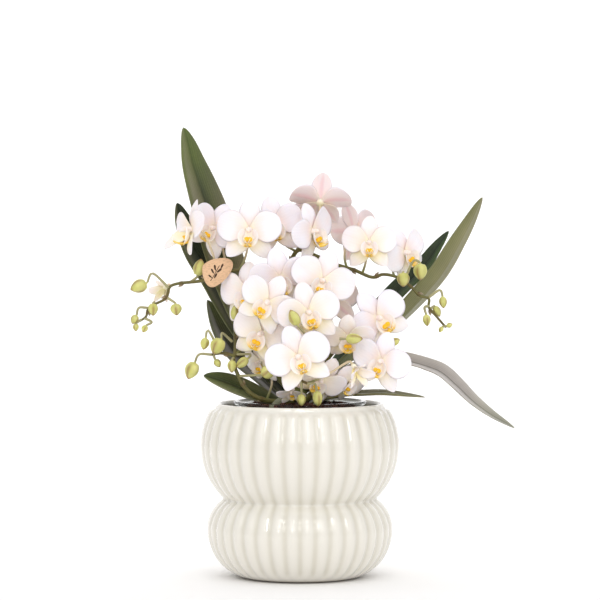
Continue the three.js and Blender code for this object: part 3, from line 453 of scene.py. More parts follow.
def makeGrowerPot():
    g = growerPot
    outerAt = lambda z: g["baseRadius"] + (z - g["floor"]) / (g["top"] - g["floor"]) * (g["topRadius"]
                                                                                        - g["baseRadius"])
    profile = [(0, g["floor"]), (g["baseRadius"] - 1, g["floor"]), (g["baseRadius"], g["floor"] + 1)]
    profile += [(outerAt(z), z) for z in (30, 55, 80, 100, g["top"] - g["lipHeight"])]
    profile += [(g["lipRadius"] - 0.4, g["top"] - 3.0), (g["lipRadius"], g["top"] - 2.5),
                (g["lipRadius"], g["top"] - 0.6), (g["lipRadius"] - 0.6, g["top"]),
                (g["topRadius"] - 0.4, g["top"]), (g["topRadius"] - g["wall"], g["top"] - 0.7)]
    profile += [(outerAt(z) - g["wall"], z) for z in (100, 80, 55, 30, g["floor"] + 2)]
    profile += [(g["baseRadius"] - 2, g["floor"] + g["wall"]), (0, g["floor"] + g["wall"])]
    mesh = turnedMesh("growerPotClear", [(r, z, 0) for r, z in profile], g["columns"])
    mesh.materials.append(clearPlastic())
    piece = bpy.data.objects.new("growerPotClear", mesh)
    bpy.context.collection.objects.link(piece)
    claim(piece, "grower_pot")


makeGrowerPot()


# Bark mix: a closed bed with loose chips of pine bark strewn over it by Geometry Nodes

bark = {"bedRadius": 40.2, "bedFloor": 9.2, "bedTop": 116.5, "chipLength": 13.0, "chipWidth": 7.0,
        "chipHeight": 3.2, "spacing": 4.0, "seed": 11, "chipReach": 36, "hollow": 9.5,
        "dark": "24110c", "brown": "53291b", "pale": "93654a",
        "tiltLeast": (-0.6, -0.8, 0.0), "tiltMost": (0.6, 0.8, 6.283),  # radians about x, y and z
        "smallest": (0.4, 0.5, 0.6), "largest": (1.0, 1.1, 1.15),  # shares of the chip's size
        "wearScale": 210.0, "edgeWear": (0.006, 0.006, 0.004), "densest": 90000.0}


def pineBark():
    # Rough pine bark chips, broken and damp: dark red-brown with paler corky faces and fibrous grain.
    material, tree = newMaterial("pineBark")
    where = addNode(tree, "ShaderNodeTexCoord").outputs["Object"]
    patch = addNode(tree, "ShaderNodeTexNoise", Vector=where, Scale=160.0, Detail=4.0)  # patches of 6 mm
    grain = addNode(tree, "ShaderNodeTexNoise", Vector=where, Scale=1400.0, Detail=4.0)  # fibre of 0.7 mm
    colour = setRamp(addNode(tree, "ShaderNodeValToRGB", Fac=patch.outputs[0]),
                     [(0.32, linearColour(bark["dark"])), (0.55, linearColour(bark["brown"])),
                      (0.78, linearColour(bark["pale"]))])
    rough = addNode(tree, "ShaderNodeMapRange", s0=patch.outputs[0], s1=0.3, s2=0.7, s3=0.62, s4=0.92)
    both = addNode(tree, "ShaderNodeMath", {"operation": "MULTIPLY_ADD"}, s0=grain.outputs[0], s1=0.4,
                   s2=patch.outputs[0])
    bump = addNode(tree, "ShaderNodeBump", Strength=0.7, Distance=0.0012, Height=both.outputs[0])
    surface = addNode(tree, "ShaderNodeBsdfPrincipled", Base_Color=colour.outputs[0],
                      Roughness=rough.outputs[0], Normal=bump.outputs[0])
    finishMaterial(tree, surface)
    return material


def makeBark():
    material = pineBark()
    bed = turnedMesh("barkBed", [(0, bark["bedFloor"], 0), (33, bark["bedFloor"], 0),
                                 (bark["bedRadius"], bark["bedTop"] - 3, 0),
                                 (bark["bedRadius"] - 1, bark["bedTop"], 1), (31, bark["bedTop"] + 2, 1),
                                 (18, bark["bedTop"] + 3, 1), (0, bark["bedTop"] + 2, 1)], 64)
    inputs = [("Chip size", "NodeSocketVector", tuple(bark[k] * mm
                                                      for k in ("chipLength", "chipWidth", "chipHeight"))),
              ("Chip spacing", "NodeSocketFloat", bark["spacing"] * mm),
              ("Seed", "NodeSocketInt", bark["seed"]),
              ("Reach", "NodeSocketFloat", bark["chipReach"] * mm),
              ("Hollow", "NodeSocketFloat", bark["hollow"] * mm)]
    tree, given = newTree("barkChips", inputs)
    made = given.outputs
    position = addNode(tree, "GeometryNodeInputPosition").outputs[0]
    flat = addNode(tree, "ShaderNodeVectorMath", {"operation": "MULTIPLY"}, s0=position, s1=(1, 1, 0))
    distance = addNode(tree, "ShaderNodeVectorMath", {"operation": "LENGTH"}, s0=flat.outputs[0]).outputs[1]
    inReach = addNode(tree, "FunctionNodeCompare", {"data_type": "FLOAT", "operation": "LESS_THAN"},
                      s0=distance, s1=made["Reach"])
    outside = addNode(tree, "FunctionNodeCompare", {"data_type": "FLOAT", "operation": "GREATER_THAN"},
                      s0=distance, s1=made["Hollow"])
    top = addNode(tree, "GeometryNodeInputNamedAttribute", {"data_type": "FLOAT"}, s0="outerWall")
    topped = addNode(tree, "FunctionNodeCompare", {"data_type": "FLOAT", "operation": "GREATER_THAN"},
                     s0=top.outputs[0], s1=0.9)
    ring = addNode(tree, "FunctionNodeBooleanMath", {"operation": "AND"}, s0=inReach.outputs[0],
                   s1=outside.outputs[0])
    strewn = addNode(tree, "FunctionNodeBooleanMath", {"operation": "AND"}, s0=ring.outputs[0],
                     s1=topped.outputs[0])
    spots = addNode(tree, "GeometryNodeDistributePointsOnFaces", {"distribute_method": "POISSON"},
                    Mesh=made["Geometry"], Selection=strewn.outputs[0], Distance_Min=made["Chip spacing"],
                    Density_Max=bark["densest"], Seed=made["Seed"])
    chip = addNode(tree, "GeometryNodeMeshCube", s0=made["Chip size"], s1=4, s2=3, s3=3)
    tilt = addNode(tree, "FunctionNodeRandomValue", {"data_type": "FLOAT_VECTOR"}, s0=bark["tiltLeast"],
                   s1=bark["tiltMost"], Seed=made["Seed"])
    sizes = addNode(tree, "FunctionNodeRandomValue", {"data_type": "FLOAT_VECTOR"}, s0=bark["smallest"],
                    s1=bark["largest"], Seed=3)
    chips = addNode(tree, "GeometryNodeInstanceOnPoints", Points=spots.outputs[0], Instance=chip.outputs[0],
                    Rotation=tilt.outputs[0], Scale=sizes.outputs[0])
    real = addNode(tree, "GeometryNodeRealizeInstances", s0=chips.outputs[0])
    broken = addNode(tree, "ShaderNodeTexNoise", Vector=position, Scale=bark["wearScale"], Detail=2.0)
    off = addNode(tree, "ShaderNodeVectorMath", {"operation": "SUBTRACT"}, s0=broken.outputs[1],
                  s1=(0.5, 0.5, 0.5))
    moved = addNode(tree, "ShaderNodeVectorMath", {"operation": "MULTIPLY"}, s0=off.outputs[0],
                    s1=bark["edgeWear"])
    rough = addNode(tree, "GeometryNodeSetPosition", Geometry=real.outputs[0], Offset=moved.outputs[0])
    joined = addNode(tree, "GeometryNodeJoinGeometry")
    tree.links.new(rough.outputs[0], joined.inputs[0])
    tree.links.new(made["Geometry"], joined.inputs[0])
    dressed = addNode(tree, "GeometryNodeSetMaterial", Geometry=joined.outputs[0], Material=material)
    addNode(tree, "NodeGroupOutput", s0=dressed.outputs[0])
    claim(growPiece("barkMixLoose", bed, tree, inputs), "bark_mix")


makeBark()
print("grower pot and bark done")


# Living tissue: tints come with the points, and the material adds what is too fine for them

def livingTissue(name, veins, grain, roughness, subsurface, clouds, bumpStrength):
    # veins is (spacing in mm, strength) across the blade, and grain is the size of the skin's cells in mm.
    material, tree = newMaterial(name)
    where = addNode(tree, "ShaderNodeTexCoord").outputs["Object"]
    tint = addNode(tree, "ShaderNodeVertexColor", {"layer_name": "tint"}).outputs[0]
    place = addNode(tree, "ShaderNodeUVMap", {"uv_map": "place"}).outputs[0]
    axes = addNode(tree, "ShaderNodeSeparateXYZ", s0=place).outputs
    sway = addNode(tree, "ShaderNodeTexNoise", Vector=where, Scale=150.0, Detail=2.0)
    spacing, strength = veins
    across = addNode(tree, "ShaderNodeMath", {"operation": "MULTIPLY_ADD"}, s0=sway.outputs[0],
                     s1=0.6 * spacing, s2=axes[0])
    phase = addNode(tree, "ShaderNodeMath", {"operation": "MULTIPLY"}, s0=across.outputs[0],
                    s1=2 * math.pi / spacing)
    line = addNode(tree, "ShaderNodeMath", {"operation": "SINE"}, s0=phase.outputs[0])
    cloud = addNode(tree, "ShaderNodeTexNoise", Vector=where, Scale=clouds[0], Detail=3.0)
    drift = addNode(tree, "ShaderNodeMapRange", s0=cloud.outputs[0], s1=0.3, s2=0.7, s3=1 - clouds[1],
                    s4=1 + clouds[1])
    stripe = addNode(tree, "ShaderNodeMath", {"operation": "MULTIPLY_ADD"}, s0=line.outputs[0], s1=strength,
                     s2=drift.outputs[0])
    shade = addNode(tree, "ShaderNodeVectorMath", {"operation": "SCALE"}, s0=tint)
    tree.links.new(stripe.outputs[0], shade.inputs["Scale"])
    cells = addNode(tree, "ShaderNodeTexNoise", Vector=where, Scale=1000.0 / grain, Detail=2.0)
    ridge = addNode(tree, "ShaderNodeMath", {"operation": "MULTIPLY_ADD"}, s0=line.outputs[0], s1=0.4,
                    s2=cells.outputs[0])
    bump = addNode(tree, "ShaderNodeBump", Strength=bumpStrength, Distance=0.0003, Height=ridge.outputs[0])
    rough = addNode(tree, "ShaderNodeMapRange", s0=cloud.outputs[0], s1=0.3, s2=0.7, s3=roughness - 0.06,
                    s4=roughness + 0.08)
    surface = addNode(tree, "ShaderNodeBsdfPrincipled", Base_Color=shade.outputs[0],
                      Roughness=rough.outputs[0], IOR=1.4, Normal=bump.outputs[0],
                      Subsurface_Weight=subsurface[0], Subsurface_Radius=subsurface[1],
                      Subsurface_Scale=subsurface[2])
    finishMaterial(tree, surface)
    return material


# Crown and roots

crown = {"x": -2, "y": 0, "radii": [(104, 5.5), (112, 7.5), (128, 6.8), (138, 4.5), (142, 0)],
         "skin": "6c7140", "rootSkin": "8b8f78", "rootBrown": "6d5a3c"}
roots = [
  {"line": [[-3, -4, 124], [-9, -13, 126], [-17, -24, 122], [-20, -29, 115], [-20, -30, 105]],
   "radius": 2.9},
  {"line": [[2, 3, 119], [14, 13, 122], [23, 19, 119], [27, 21, 110]], "radius": 2.2},
  {"line": [[-5, 4, 119], [-16, 16, 121], [-22, 24, 117], [-24, 26, 108]], "radius": 2.3},
  {"line": [[2, -3, 118], [10, -15, 121], [17, -25, 117], [19, -28, 107]], "radius": 2.1},
]


def makeCrown():
    # Root skin is dead spongy velamen: matt, grey-green, with brown where it has dried.
    material = livingTissue("rootVelamen", (1.4, 0.05), 0.5, 0.72, (0.0, (0.001, 0.001, 0.001), 1.0),
                            (120.0, 0.22), 0.7)
    shell = newShell()
    heights = [104 + 38 * i / 40 for i in range(41)]
    radii = []
    for z in heights:
        for (low, start), (high, end) in zip(crown["radii"], crown["radii"][1:]):
            if low <= z <= high:
                radii.append(start + (end - start) * between(low, high, z))
    path = [(Vector((crown["x"], crown["y"], z)), Vector((0, 0, 1))) for z in heights]
    radii[-1] = 0
    skin, rootSkin, brown = (linearColour(crown[k]) for k in ("skin", "rootSkin", "rootBrown"))
    addRod(shell, path, radii, 32, lambda t, a: mixed(brown, skin, between(0.2, 0.6, t)))
    for index, root in enumerate(roots):
        shares = [i / 40 for i in range(41)]
        path, _ = evenPath(root["line"], shares)
        lumps = [1 + 0.1 * noise.noise(p * 0.18 + Vector((index * 9, 0, 0))) for p, _ in path]
        radii = [root["radius"] * (1 - 0.25 * t) * lump for t, lump in zip(shares, lumps)]
        addRod(shell, path, radii, 20, lambda t, a: mixed(rootSkin, brown, between(0.5, 1, t) * 0.7))
    makePiece("crownAndRoots", shell, material, "crown_and_roots")


makeCrown()


# Leaves: leathery straps, folded along the midrib. The upper face and the underside have their own colours.

leafLook = {"thickness": 1.9, "rows": 84, "columns": 24, "wave": 0.5}
leaves = {
  "leaf_left_tall": {
    "line": [
      [-5, 0, 130], [-12, 1, 138], [-23, 3, 152], [-36, 5, 170], [-47, 7, 196], [-56, 9, 224],
      [-64, 11, 252], [-70, 12, 271], [-76, 13, 290], [-79, 13, 303], [-82, 13, 315],
    ],
    "width": 17,
    "facing": [[0.5, -0.5, 0.6], [0.35, -0.9, 0.1]],
    "fold": 24,
    "colour": "56643a",
 },
  "leaf_left_broad": {
    "line": [
      [-6, 5, 123], [-13, 12, 131], [-29, 18, 154], [-41, 20, 173], [-53, 21, 194], [-62, 22, 210],
      [-75, 23, 229], [-83, 24, 247], [-87, 25, 262],
    ],
    "width": 17,
    "facing": [[0.5, -0.6, 0.5], [0.5, -0.85, 0.1]],
    "fold": 26,
    "colour": "3c4a28",
 },
  "leaf_left_behind": {
    "line": [[-6, 7, 119], [-16, 20, 125], [-30, 28, 138], [-45, 33, 152], [-57, 35, 170], [-66, 36, 193]],
    "width": 12,
    "facing": [[0.5, -0.4, 0.7], [0.6, -0.75, 0.2]],
    "fold": 22,
    "colour": "56603c",
 },
  "leaf_left_low": {
    "line": [
      [-7, -4.1, 119.6], [-18, -9, 122.5], [-31, -12, 127.5], [-44, -14, 133], [-56, -17, 138],
      [-67, -20, 142],
    ],
    "width": 10.5,
    "facing": [[0.1, -0.4, 0.9], [0.35, -0.75, 0.55]],
    "fold": 22,
    "colour": "35471f",
 },
  "leaf_right_tall": {
    "line": [
      [4, 1, 129], [14, 5, 136], [34, 12, 150], [52, 16, 163], [67, 18, 176], [82, 19, 191], [100, 21, 212],
      [114, 22, 236], [121, 22, 249], [129, 22, 266],
    ],
    "width": 12.5,
    "facing": [[-0.5, 0.2, 0.8], [-0.6, 0.8, 0.2]],
    "fold": 20,
    "colour": "6b7a48",
 },
  "leaf_right_dark": {
    "line": [
      [3, 8, 120], [11, 19, 126], [28, 31, 147], [53, 35, 178], [70, 37, 198], [88, 38, 216], [97, 38, 229],
      [106, 38, 242],
    ],
    "width": 11,
    "facing": [[-0.5, -0.2, 0.8], [-0.45, -0.85, 0.3]],
    "fold": 24,
    "colour": "24361a",
 },
  "leaf_right_trailing": {
    "line": [
      [4, -3, 124], [14, -5, 131], [31, -6, 142], [50, -7, 149], [65, -6, 151.5], [77, -8, 150],
      [88, -9, 147], [98, -12, 143], [108, -14, 134.5], [119, -16, 124], [132, -19, 114.5], [142, -21, 109],
      [149, -22, 105.5],
    ],
    "width": 11.5,
    "facing": [[-0.3, -0.2, 0.9], [0.35, -0.4, 0.85]],
    "fold": 22,
    "colour": "75776a",
 },
  "leaf_right_low": {
    "line": [
      [4, -4, 119.5], [14, -6, 124], [31, -8, 127.5], [45, -12, 128.5], [58, -15, 129], [74, -18, 128],
      [87, -20, 127],
    ],
    "width": 8,
    "facing": [[0, -0.2, 1], [0, -0.12, 1]],
    "fold": 14,
    "colour": "4e4f30",
 },
}
# Some stops are painted light: the grey strips of leaf_left_tall and leaf_left_broad and the silver-grey
# face of leaf_right_trailing are painted sheen, and the dark stops at the midrib are painted shade in its
# crease.
leafColoursShadeAndSheen = {  # across the upper face from one edge to the other, and the underside
    "leaf_left_tall": ([(-1, "555c2c"), (-0.6, "7e7a62"), (-0.15, "6f6e50"), (0.03, "363d1a"),
                        (0.4, "4a5126"),
                        (0.8, "4e5230"), (1, "6a6650")], "6b6f4c"),
    "leaf_left_broad": ([(-1, "4c5429"), (-0.75, "6a6850"), (-0.45, "3c4026"), (0, "222a12"),
                         (1, "2b3318")], "5d6144"),
    "leaf_left_behind": ([(-1, "6a6a52"), (-0.4, "7b7572"), (0.1, "413f2c"), (1, "3a3d26")], "565640"),
    "leaf_left_low": ([(-1, "84826a"), (-0.85, "6a7048"), (-0.3, "5a6238"), (0, "37401d"), (1, "4f582b")],
                      "6a6b50"),
    "leaf_right_tall": ([(-1, "5b6a3c"), (1, "55632f")], "74734a"),
    "leaf_right_dark": ([(-1, "2c3d1e"), (0, "24331a"), (1, "3d5226")], "3c4227"),
    "leaf_right_trailing": ([(-1, "b4ada6"), (-0.12, "a09993"), (0, "75716a"), (0.12, "a8a29c"),
                             (1, "c0bab8")], "7f7c62"),
    "leaf_right_low": ([(-1, "8e8a6c"), (-0.2, "74704a"), (1, "76764a")], "7d6e50"),
}


leafPaintedSheen = {"leaf_left_tall": 0.5, "leaf_left_low": 0.2}  # painted sheen: a grey highlight towards one edge
# how much greener the upper face grows towards the tip
leafTipGreen = {"leaf_left_tall": 0.5, "leaf_right_trailing": 0.35, "leaf_left_behind": 0.3}


def leafOutline(t):
    return math.sin(math.pi * min(1, 0.2 + 0.8 * t) ** 1.35) ** 0.6


def makeLeaf(node, plan, material, seed):
    rows, columns = leafLook["rows"], leafLook["columns"]
    shares = [0.999 * (1 - (1 - i / rows) ** 1.25) for i in range(rows)] + [1]
    path, length = evenPath(plan["line"], shares)
    frames = {}
    baseFace, tipFace = (Vector(f) for f in plan["facing"])
    for t, (centre, along) in zip(shares, path):
        up = baseFace.lerp(tipFace, t)
        up = (up - along * up.dot(along)).normalized()
        frames[t] = (centre, along.cross(up), up)
    fold = math.radians(plan["fold"])
    stops = [(s, linearColour(c)) for s, c in leafColoursShadeAndSheen[node][0]]
    under = linearColour(leafColoursShadeAndSheen[node][1])
    green, greyAndSheen = linearColour("5f6f30"), linearColour("8f8a6c")

    def middle(t, s):
        centre, across, up = frames[t]
        half = plan["width"] * leafOutline(t) if t < 1 else 0
        wave = leafLook["wave"] * s * abs(s) * math.sin(t * length / 17 + seed) * (1 - t)
        rise = half * (abs(s) - 0.25 * s * s) * math.sin(fold) + wave
        return centre + across * (half * s * math.cos(fold)) + up * rise, half

    def paint(t, s, side):
        blotch = 0.5 + 0.5 * noise.noise(Vector((s * 1.3 + seed * 7, t * length / 45, side)))
        band = 0.5 + 0.5 * noise.noise(Vector((s * 9 + seed * 3, t * length / 160, side * 4)))
        if side > 0:
            index = max(i for i in range(len(stops) - 1) if stops[i][0] <= s)
            (low, first), (high, second) = stops[index:index + 2]
            colour = mixed(first, second, between(low, high, s))
            # painted shade: the upper face is darker along the midrib, in its crease
            colour = mixed(colour, tuple(c * 0.6 for c in colour), between(0.08, 0.0, abs(s)) * 0.5)
            # painted sheen: a grey highlight over one half of the upper face, towards its foot
            colour = mixed(colour, greyAndSheen, leafPaintedSheen.get(node, 0) * between(0.9, 0.5, t) * between(0.1, 0.7,
                                                                                                 s))
            colour = mixed(colour, green, leafTipGreen[node] * between(0.7, 0.97,
                                                                       t) if node in leafTipGreen else 0)
        else:  # the underside is greener at the foot and greyer towards the tip and one edge
            colour = mixed(under, green, 0.55 * between(0.7, 0.1, t) * between(-0.6, 0.6, s))
            colour = mixed(colour, greyAndSheen, 0.6 * between(0.3, 0.9, t) * between(0.9, -0.4,
                                                                              s) + 0.25 * between(0.1, 0,
                                                                                                  abs(s)))
        colour = mixed(colour, tuple(c * 0.75 for c in colour), 0.5 * blotch)
        colour = mixed(colour, tuple(c * 1.25 for c in colour), 0.4 * band)
        colour = mixed(colour, greyAndSheen, between(0.93, 1.0, abs(s)) * 0.5)
        return mixed(colour, linearColour("6d6a40"), between(0.1, 0.0, t) * 0.5)

    shell = newShell()
    addSheet(shell, shares, columns, middle, lambda t: frames[t][2], leafLook["thickness"] / 2, paint)
    makePiece(camelName(node), shell, material, node)


def makeLeaves():
    # The cuticle is waxy and leathery: a soft satin sheen, fine parallel veins about 1 mm apart.
    material = livingTissue("leatheryLeaf", (1.5, 0.09), 0.35, 0.42, (0.0, (0.001, 0.002, 0.0004), 0.6),
                            (45.0, 0.1), 0.4)
    for seed, (node, plan) in enumerate(leaves.items()):
        makeLeaf(node, plan, material, seed + 1)


makeLeaves()
print("crown and leaves done")


# Blooms: five tepals round a seat, a lip that cups the column, a callus and two whiskers at its tip

bloomLook = {
    "rows": 20, "columns": 16, "thickness": 0.62,
    "petal": {"length": 21, "width": 20.8, "broadAt": 0.56, "claw": 0.14, "point": 0.86, "cup": 1.6,
              "lift": 0.6},
    "topSepal": {"length": 20.5, "width": 14, "broadAt": 0.48, "claw": 0.2, "point": 1.1, "cup": -0.4,
                 "lift": -0.6},
    "sideSepal": {"length": 22, "width": 13.5, "broadAt": 0.44, "claw": 0.2, "point": 1.4, "cup": -0.4,
                  "lift": -0.7},
    "white": "f7f2f8", "blush": "fbe0d4", "lilac": "f3edf9", "cream": "fef3da", "yellow": "fceba6",
    "claw": "fef3d2", "backMidline": "eaa9bc", "lipCream": "fff6e8", "callus": "ffc21c", "calyx": "dcd3a4",
    "speck": "e0a8c0", "columnPink": "fff4ee", "cap": "fdece4", "midlobe": "fbd050", "back": "f3dfdc",
}
blooms = {
  "bloom_left_tip": {
    "at": [-74, -24, 243], "looks": [-66, 5], "roll": 4, "size": 1.06, "open": 0.9,
                     "leans": [-8, 0, -10, 42, 10],
 },
  "bloom_left_inner": {"at": [-60, -11, 244], "looks": [-20, 0], "roll": -35, "size": 0.95, "open": 1},
  "bloom_crown_left": {"at": [-35, -30, 243], "looks": [-5, -3], "roll": -2, "size": 1.08, "open": 1},
  "bloom_crown_middle": {"at": [-18, -12, 246], "looks": [5, 0], "roll": 12, "size": 1.02, "open": 1},
  "bloom_crown_back": {"at": [0, 17, 247], "looks": [180, 20], "roll": 0, "size": 0.85, "open": 1},
  "bloom_crown_side": {"at": [8, -14, 242], "looks": [50, -3], "roll": 22, "size": 1.02, "open": 1},
  "bloom_top_back": {
    "at": [14, 2, 262], "looks": [180, 48], "roll": 8, "size": 1.06, "open": 1, "leans": [0, 0, 36, 0, 0],
 },
  "bloom_top_right": {"at": [38, 10, 242], "looks": [145, 8], "roll": -15, "size": 1, "open": 1},
  "bloom_right_face": {"at": [48, -16, 234], "looks": [0, 0], "roll": 0, "size": 0.92, "open": 1},
  "bloom_right_tip": {"at": [73, 4, 227], "looks": [45, -5], "roll": 33, "size": 0.95, "open": 1},
  "bloom_middle_upper": {"at": [-13, -38, 210], "looks": [0, -10], "roll": 12, "size": 1.05, "open": 1},
  "bloom_middle_left": {"at": [-35.8, -22, 199.2], "looks": [-30, 0], "roll": 0, "size": 1.08, "open": 1},
  "bloom_middle_front": {"at": [-22, -50, 194], "looks": [-15, -10], "roll": -35, "size": 1.02,
                         "open": 1},
  "bloom_low_left": {"at": [-26.2, -34.5, 172], "looks": [-22, -10], "roll": -25, "size": 1.05,
                     "open": 1},
  "bloom_heart_upper": {"at": [15, -42, 208], "looks": [8, 0], "roll": -20, "size": 1.1, "open": 1},
  "bloom_heart_lower": {"at": [6, -54, 187], "looks": [5, -5], "roll": 15, "size": 1.05, "open": 1},
  "bloom_flank_upper": {"at": [54, -28, 182], "looks": [22, 0], "roll": 38, "size": 1.08, "open": 1},
  "bloom_flank_lower": {"at": [56, -44, 153], "looks": [-20, -5], "roll": -17, "size": 1.02, "open": 1},
  "bloom_front": {"at": [-1, -66, 157], "looks": [0, 0], "roll": 20, "size": 1.1, "open": 1},
  "bloom_nodding": {"at": [33, -37, 170], "looks": [-5, -35], "roll": 0, "size": 0.9, "open": 1},
  "bloom_opening": {"at": [37, -54, 150], "looks": [30, -30], "roll": 0, "size": 0.8, "open": 0.35},
  "bloom_skirt_middle": {"at": [14, -39, 141], "looks": [5, -30], "roll": -37, "size": 0.9, "open": 1},
  "bloom_skirt_right": {"at": [34.2, -27, 139.2], "looks": [40, -40], "roll": -30, "size": 0.85,
                        "open": 1},
  "bloom_skirt_small": {"at": [-5.5, -38, 133], "looks": [-10, -50], "roll": 0, "size": 0.55,
                        "open": 0.7},
  "bloom_low_side": {"at": [-27, -17, 152], "looks": [-50, -20], "roll": 0, "size": 0.8, "open": 1},
  "bloom_rear_left": {"at": [-12, 24, 196], "looks": [190, 5], "roll": 10, "size": 0.95, "open": 1},
  "bloom_rear_right": {"at": [23, 26, 193], "looks": [165, 0], "roll": -10, "size": 0.95, "open": 1},
  "bloom_rear_low": {"at": [5, 24, 163], "looks": [182, -10], "roll": 0, "size": 0.9, "open": 1},
  "bloom_opening_left": {"at": [-94, -8, 203], "looks": [-150, -20], "roll": 0, "size": 0.62,
                         "open": 0.4},
}
warmBlooms = {  # flowers with more cream and yellow in their lower parts, and how much more
    "bloom_middle_front": 0.6, "bloom_low_left": 0.9, "bloom_right_face": 0.8, "bloom_opening": 1.05,
    "bloom_skirt_middle": 0.9, "bloom_skirt_right": 1, "bloom_skirt_small": 1, "bloom_nodding": 1,
    "bloom_low_side": 1, "bloom_opening_left": 1.25, "bloom_heart_lower": 0.7, "bloom_crown_left": 0.3,
    "bloom_front": 0.35, "bloom_middle_left": 0.5, "bloom_heart_upper": 0.4, "bloom_left_tip": 0.5,
}
tepals = [("petal", 14), ("petal", 166), ("topSepal", 90), ("sideSepal", 232), ("sideSepal", 308)]
# lips that reach further forwards than the rest
lipReach = {"bloom_left_tip": 1.3, "bloom_flank_upper": 1.15, "bloom_crown_side": 1.2}

goldenLips = {"bloom_low_left": 1, "bloom_middle_front": 0.9, "bloom_front": 0.2, "bloom_crown_left": 0.35,
              "bloom_flank_upper": 0.7, "bloom_nodding": 1, "bloom_heart_lower": 0.8, "bloom_left_tip": 0.6,
              "bloom_low_side": 0.8, "bloom_skirt_middle": 0.8}  # how far the yellow spreads in the lip


def lookOf(azimuth, elevation):
    a, e = math.radians(azimuth), math.radians(elevation)
    return Vector((math.sin(a) * math.cos(e), -math.cos(a) * math.cos(e), math.sin(e)))


def bloomToWorld(plan):
    look = lookOf(*plan["looks"])
    right = Vector((0, 0, 1)).cross(look).normalized()
    basis = Matrix((right, look.cross(right), look)).transposed().to_4x4()
    return Matrix.Translation(plan["at"]) @ basis @ Matrix.Rotation(math.radians(plan["roll"]), 4, "Z")


def tepalOutline(t, kind):
    broadAt, claw, point = kind["broadAt"], kind["claw"], kind["point"]
    if t < broadAt:
        return claw + (1 - claw) * math.sin(0.5 * math.pi * t / broadAt) ** 1.15
    return max(0, 1 - ((t - broadAt) / (1 - broadAt)) ** 2) ** (0.5 * point)


def addTepal(shell, kind, angle, lean, plan, chance, warmth):
    size, open = plan["size"], plan["open"]
    turn = math.radians(angle)
    closing = math.radians(5 + (1 - open) * 78 + lean)
    outwards = Vector((math.cos(turn), math.sin(turn), 0))
    along = outwards * math.cos(closing) + Vector((0, 0, math.sin(closing)))
    up = -outwards * math.sin(closing) + Vector((0, 0, math.cos(closing)))
    across = up.cross(along)
    length = kind["length"] * size
    broadest = 0.5 * kind["width"] * size * (0.25 + 0.75 * open)
    ruffle, sway, curl = chance.uniform(0.25, 0.75), chance.uniform(0, 6.28), chance.uniform(-0.6, 0.6)
    drift = chance.uniform(-0.9, 0.9)
    name = kind["name"]
    look = bloomLook

    def middle(t, s):
        half = broadest * tepalOutline(t, kind)
        bow = size * (1.4 * math.sin(math.pi * t) - 2.2 * t * t * open)
        sides = size * kind["cup"] * s * s * math.sin(math.pi * t)
        wave = size * ruffle * s * s * math.sin(7 * t + sway + 2 * s) * t
        keel = -0.22 * math.exp(-(s / 0.1) ** 2) * math.sin(math.pi * min(1, 1.1 * t))
        rise = kind["lift"] * size + bow + sides + wave + keel + curl * t ** 3
        return along * (length * t) + across * (half * s + drift * t * t) + up * rise, half

    def paint(t, s, side):
        mottle = noise.noise(Vector((s * 1.5 + sway * 5, t * 2.5, angle)))
        colour = mixed(look["white"], look["blush"], max(0, 0.05 + 0.3 * mottle + 0.25 * warmth))
        colour = mixed(colour, look["lilac"], between(0.55, 1.05, abs(s)) * 0.35)
        throat = between(0.34, 0.05, t)
        # painted shade: a warm peach towards the base, where the tepals overlap and shade each other
        colour = mixed(colour, look["blush"], 0.6 * between(0.6, 0.15, t))
        if name == "petal":
            colour = mixed(colour, look["cream"], min(1,
                                                      0.6 * throat + 0.6 * warmth * between(1.0, 0.2, t)))
            colour = mixed(colour, look["claw"], 0.6 * between(0.2, 0.0, t))
        elif name == "topSepal":
            colour = mixed(colour, look["cream"], 0.4 * throat + 0.2 * warmth)
        else:
            colour = mixed(colour, look["cream"], min(1, 0.4 + 0.5 * throat + 0.6 * warmth) * between(1.2,
                                                                                                      0.3,
                                                                                                      t))
            colour = mixed(colour, look["yellow"], min(1, 0.3 + 0.7 * warmth) * between(0.85, 0.1, t))
        if side < 0:
            pinkness = 1 - 0.8 * min(1, warmth)
            colour = mixed(colour, look["backMidline"], 0.75 * pinkness * between(0.34, 0.0,
                                                                                  abs(s)) * between(1.1,
                                                                                                    0.75,
                                                                                                    t))
            # partly painted shade: the peach of the back faces is their own tint and also stands in for the
            # warm shade they show
            colour = mixed(colour, look["back"], 0.6 * pinkness)
        if warmth > 1:
            colour = mixed(colour, look["calyx"], min(1, 2.5 * (warmth - 1)) * between(1.1, 0.1, t))
        return colour

    rows = bloomLook["rows"]
    shares = [0.04 + 0.96 * math.sin(0.5 * math.pi * i / rows) ** 0.9 for i in range(rows)] + [1]
    addSheet(shell, shares, bloomLook["columns"], middle, lambda t: up, 0.5 * bloomLook["thickness"], paint)


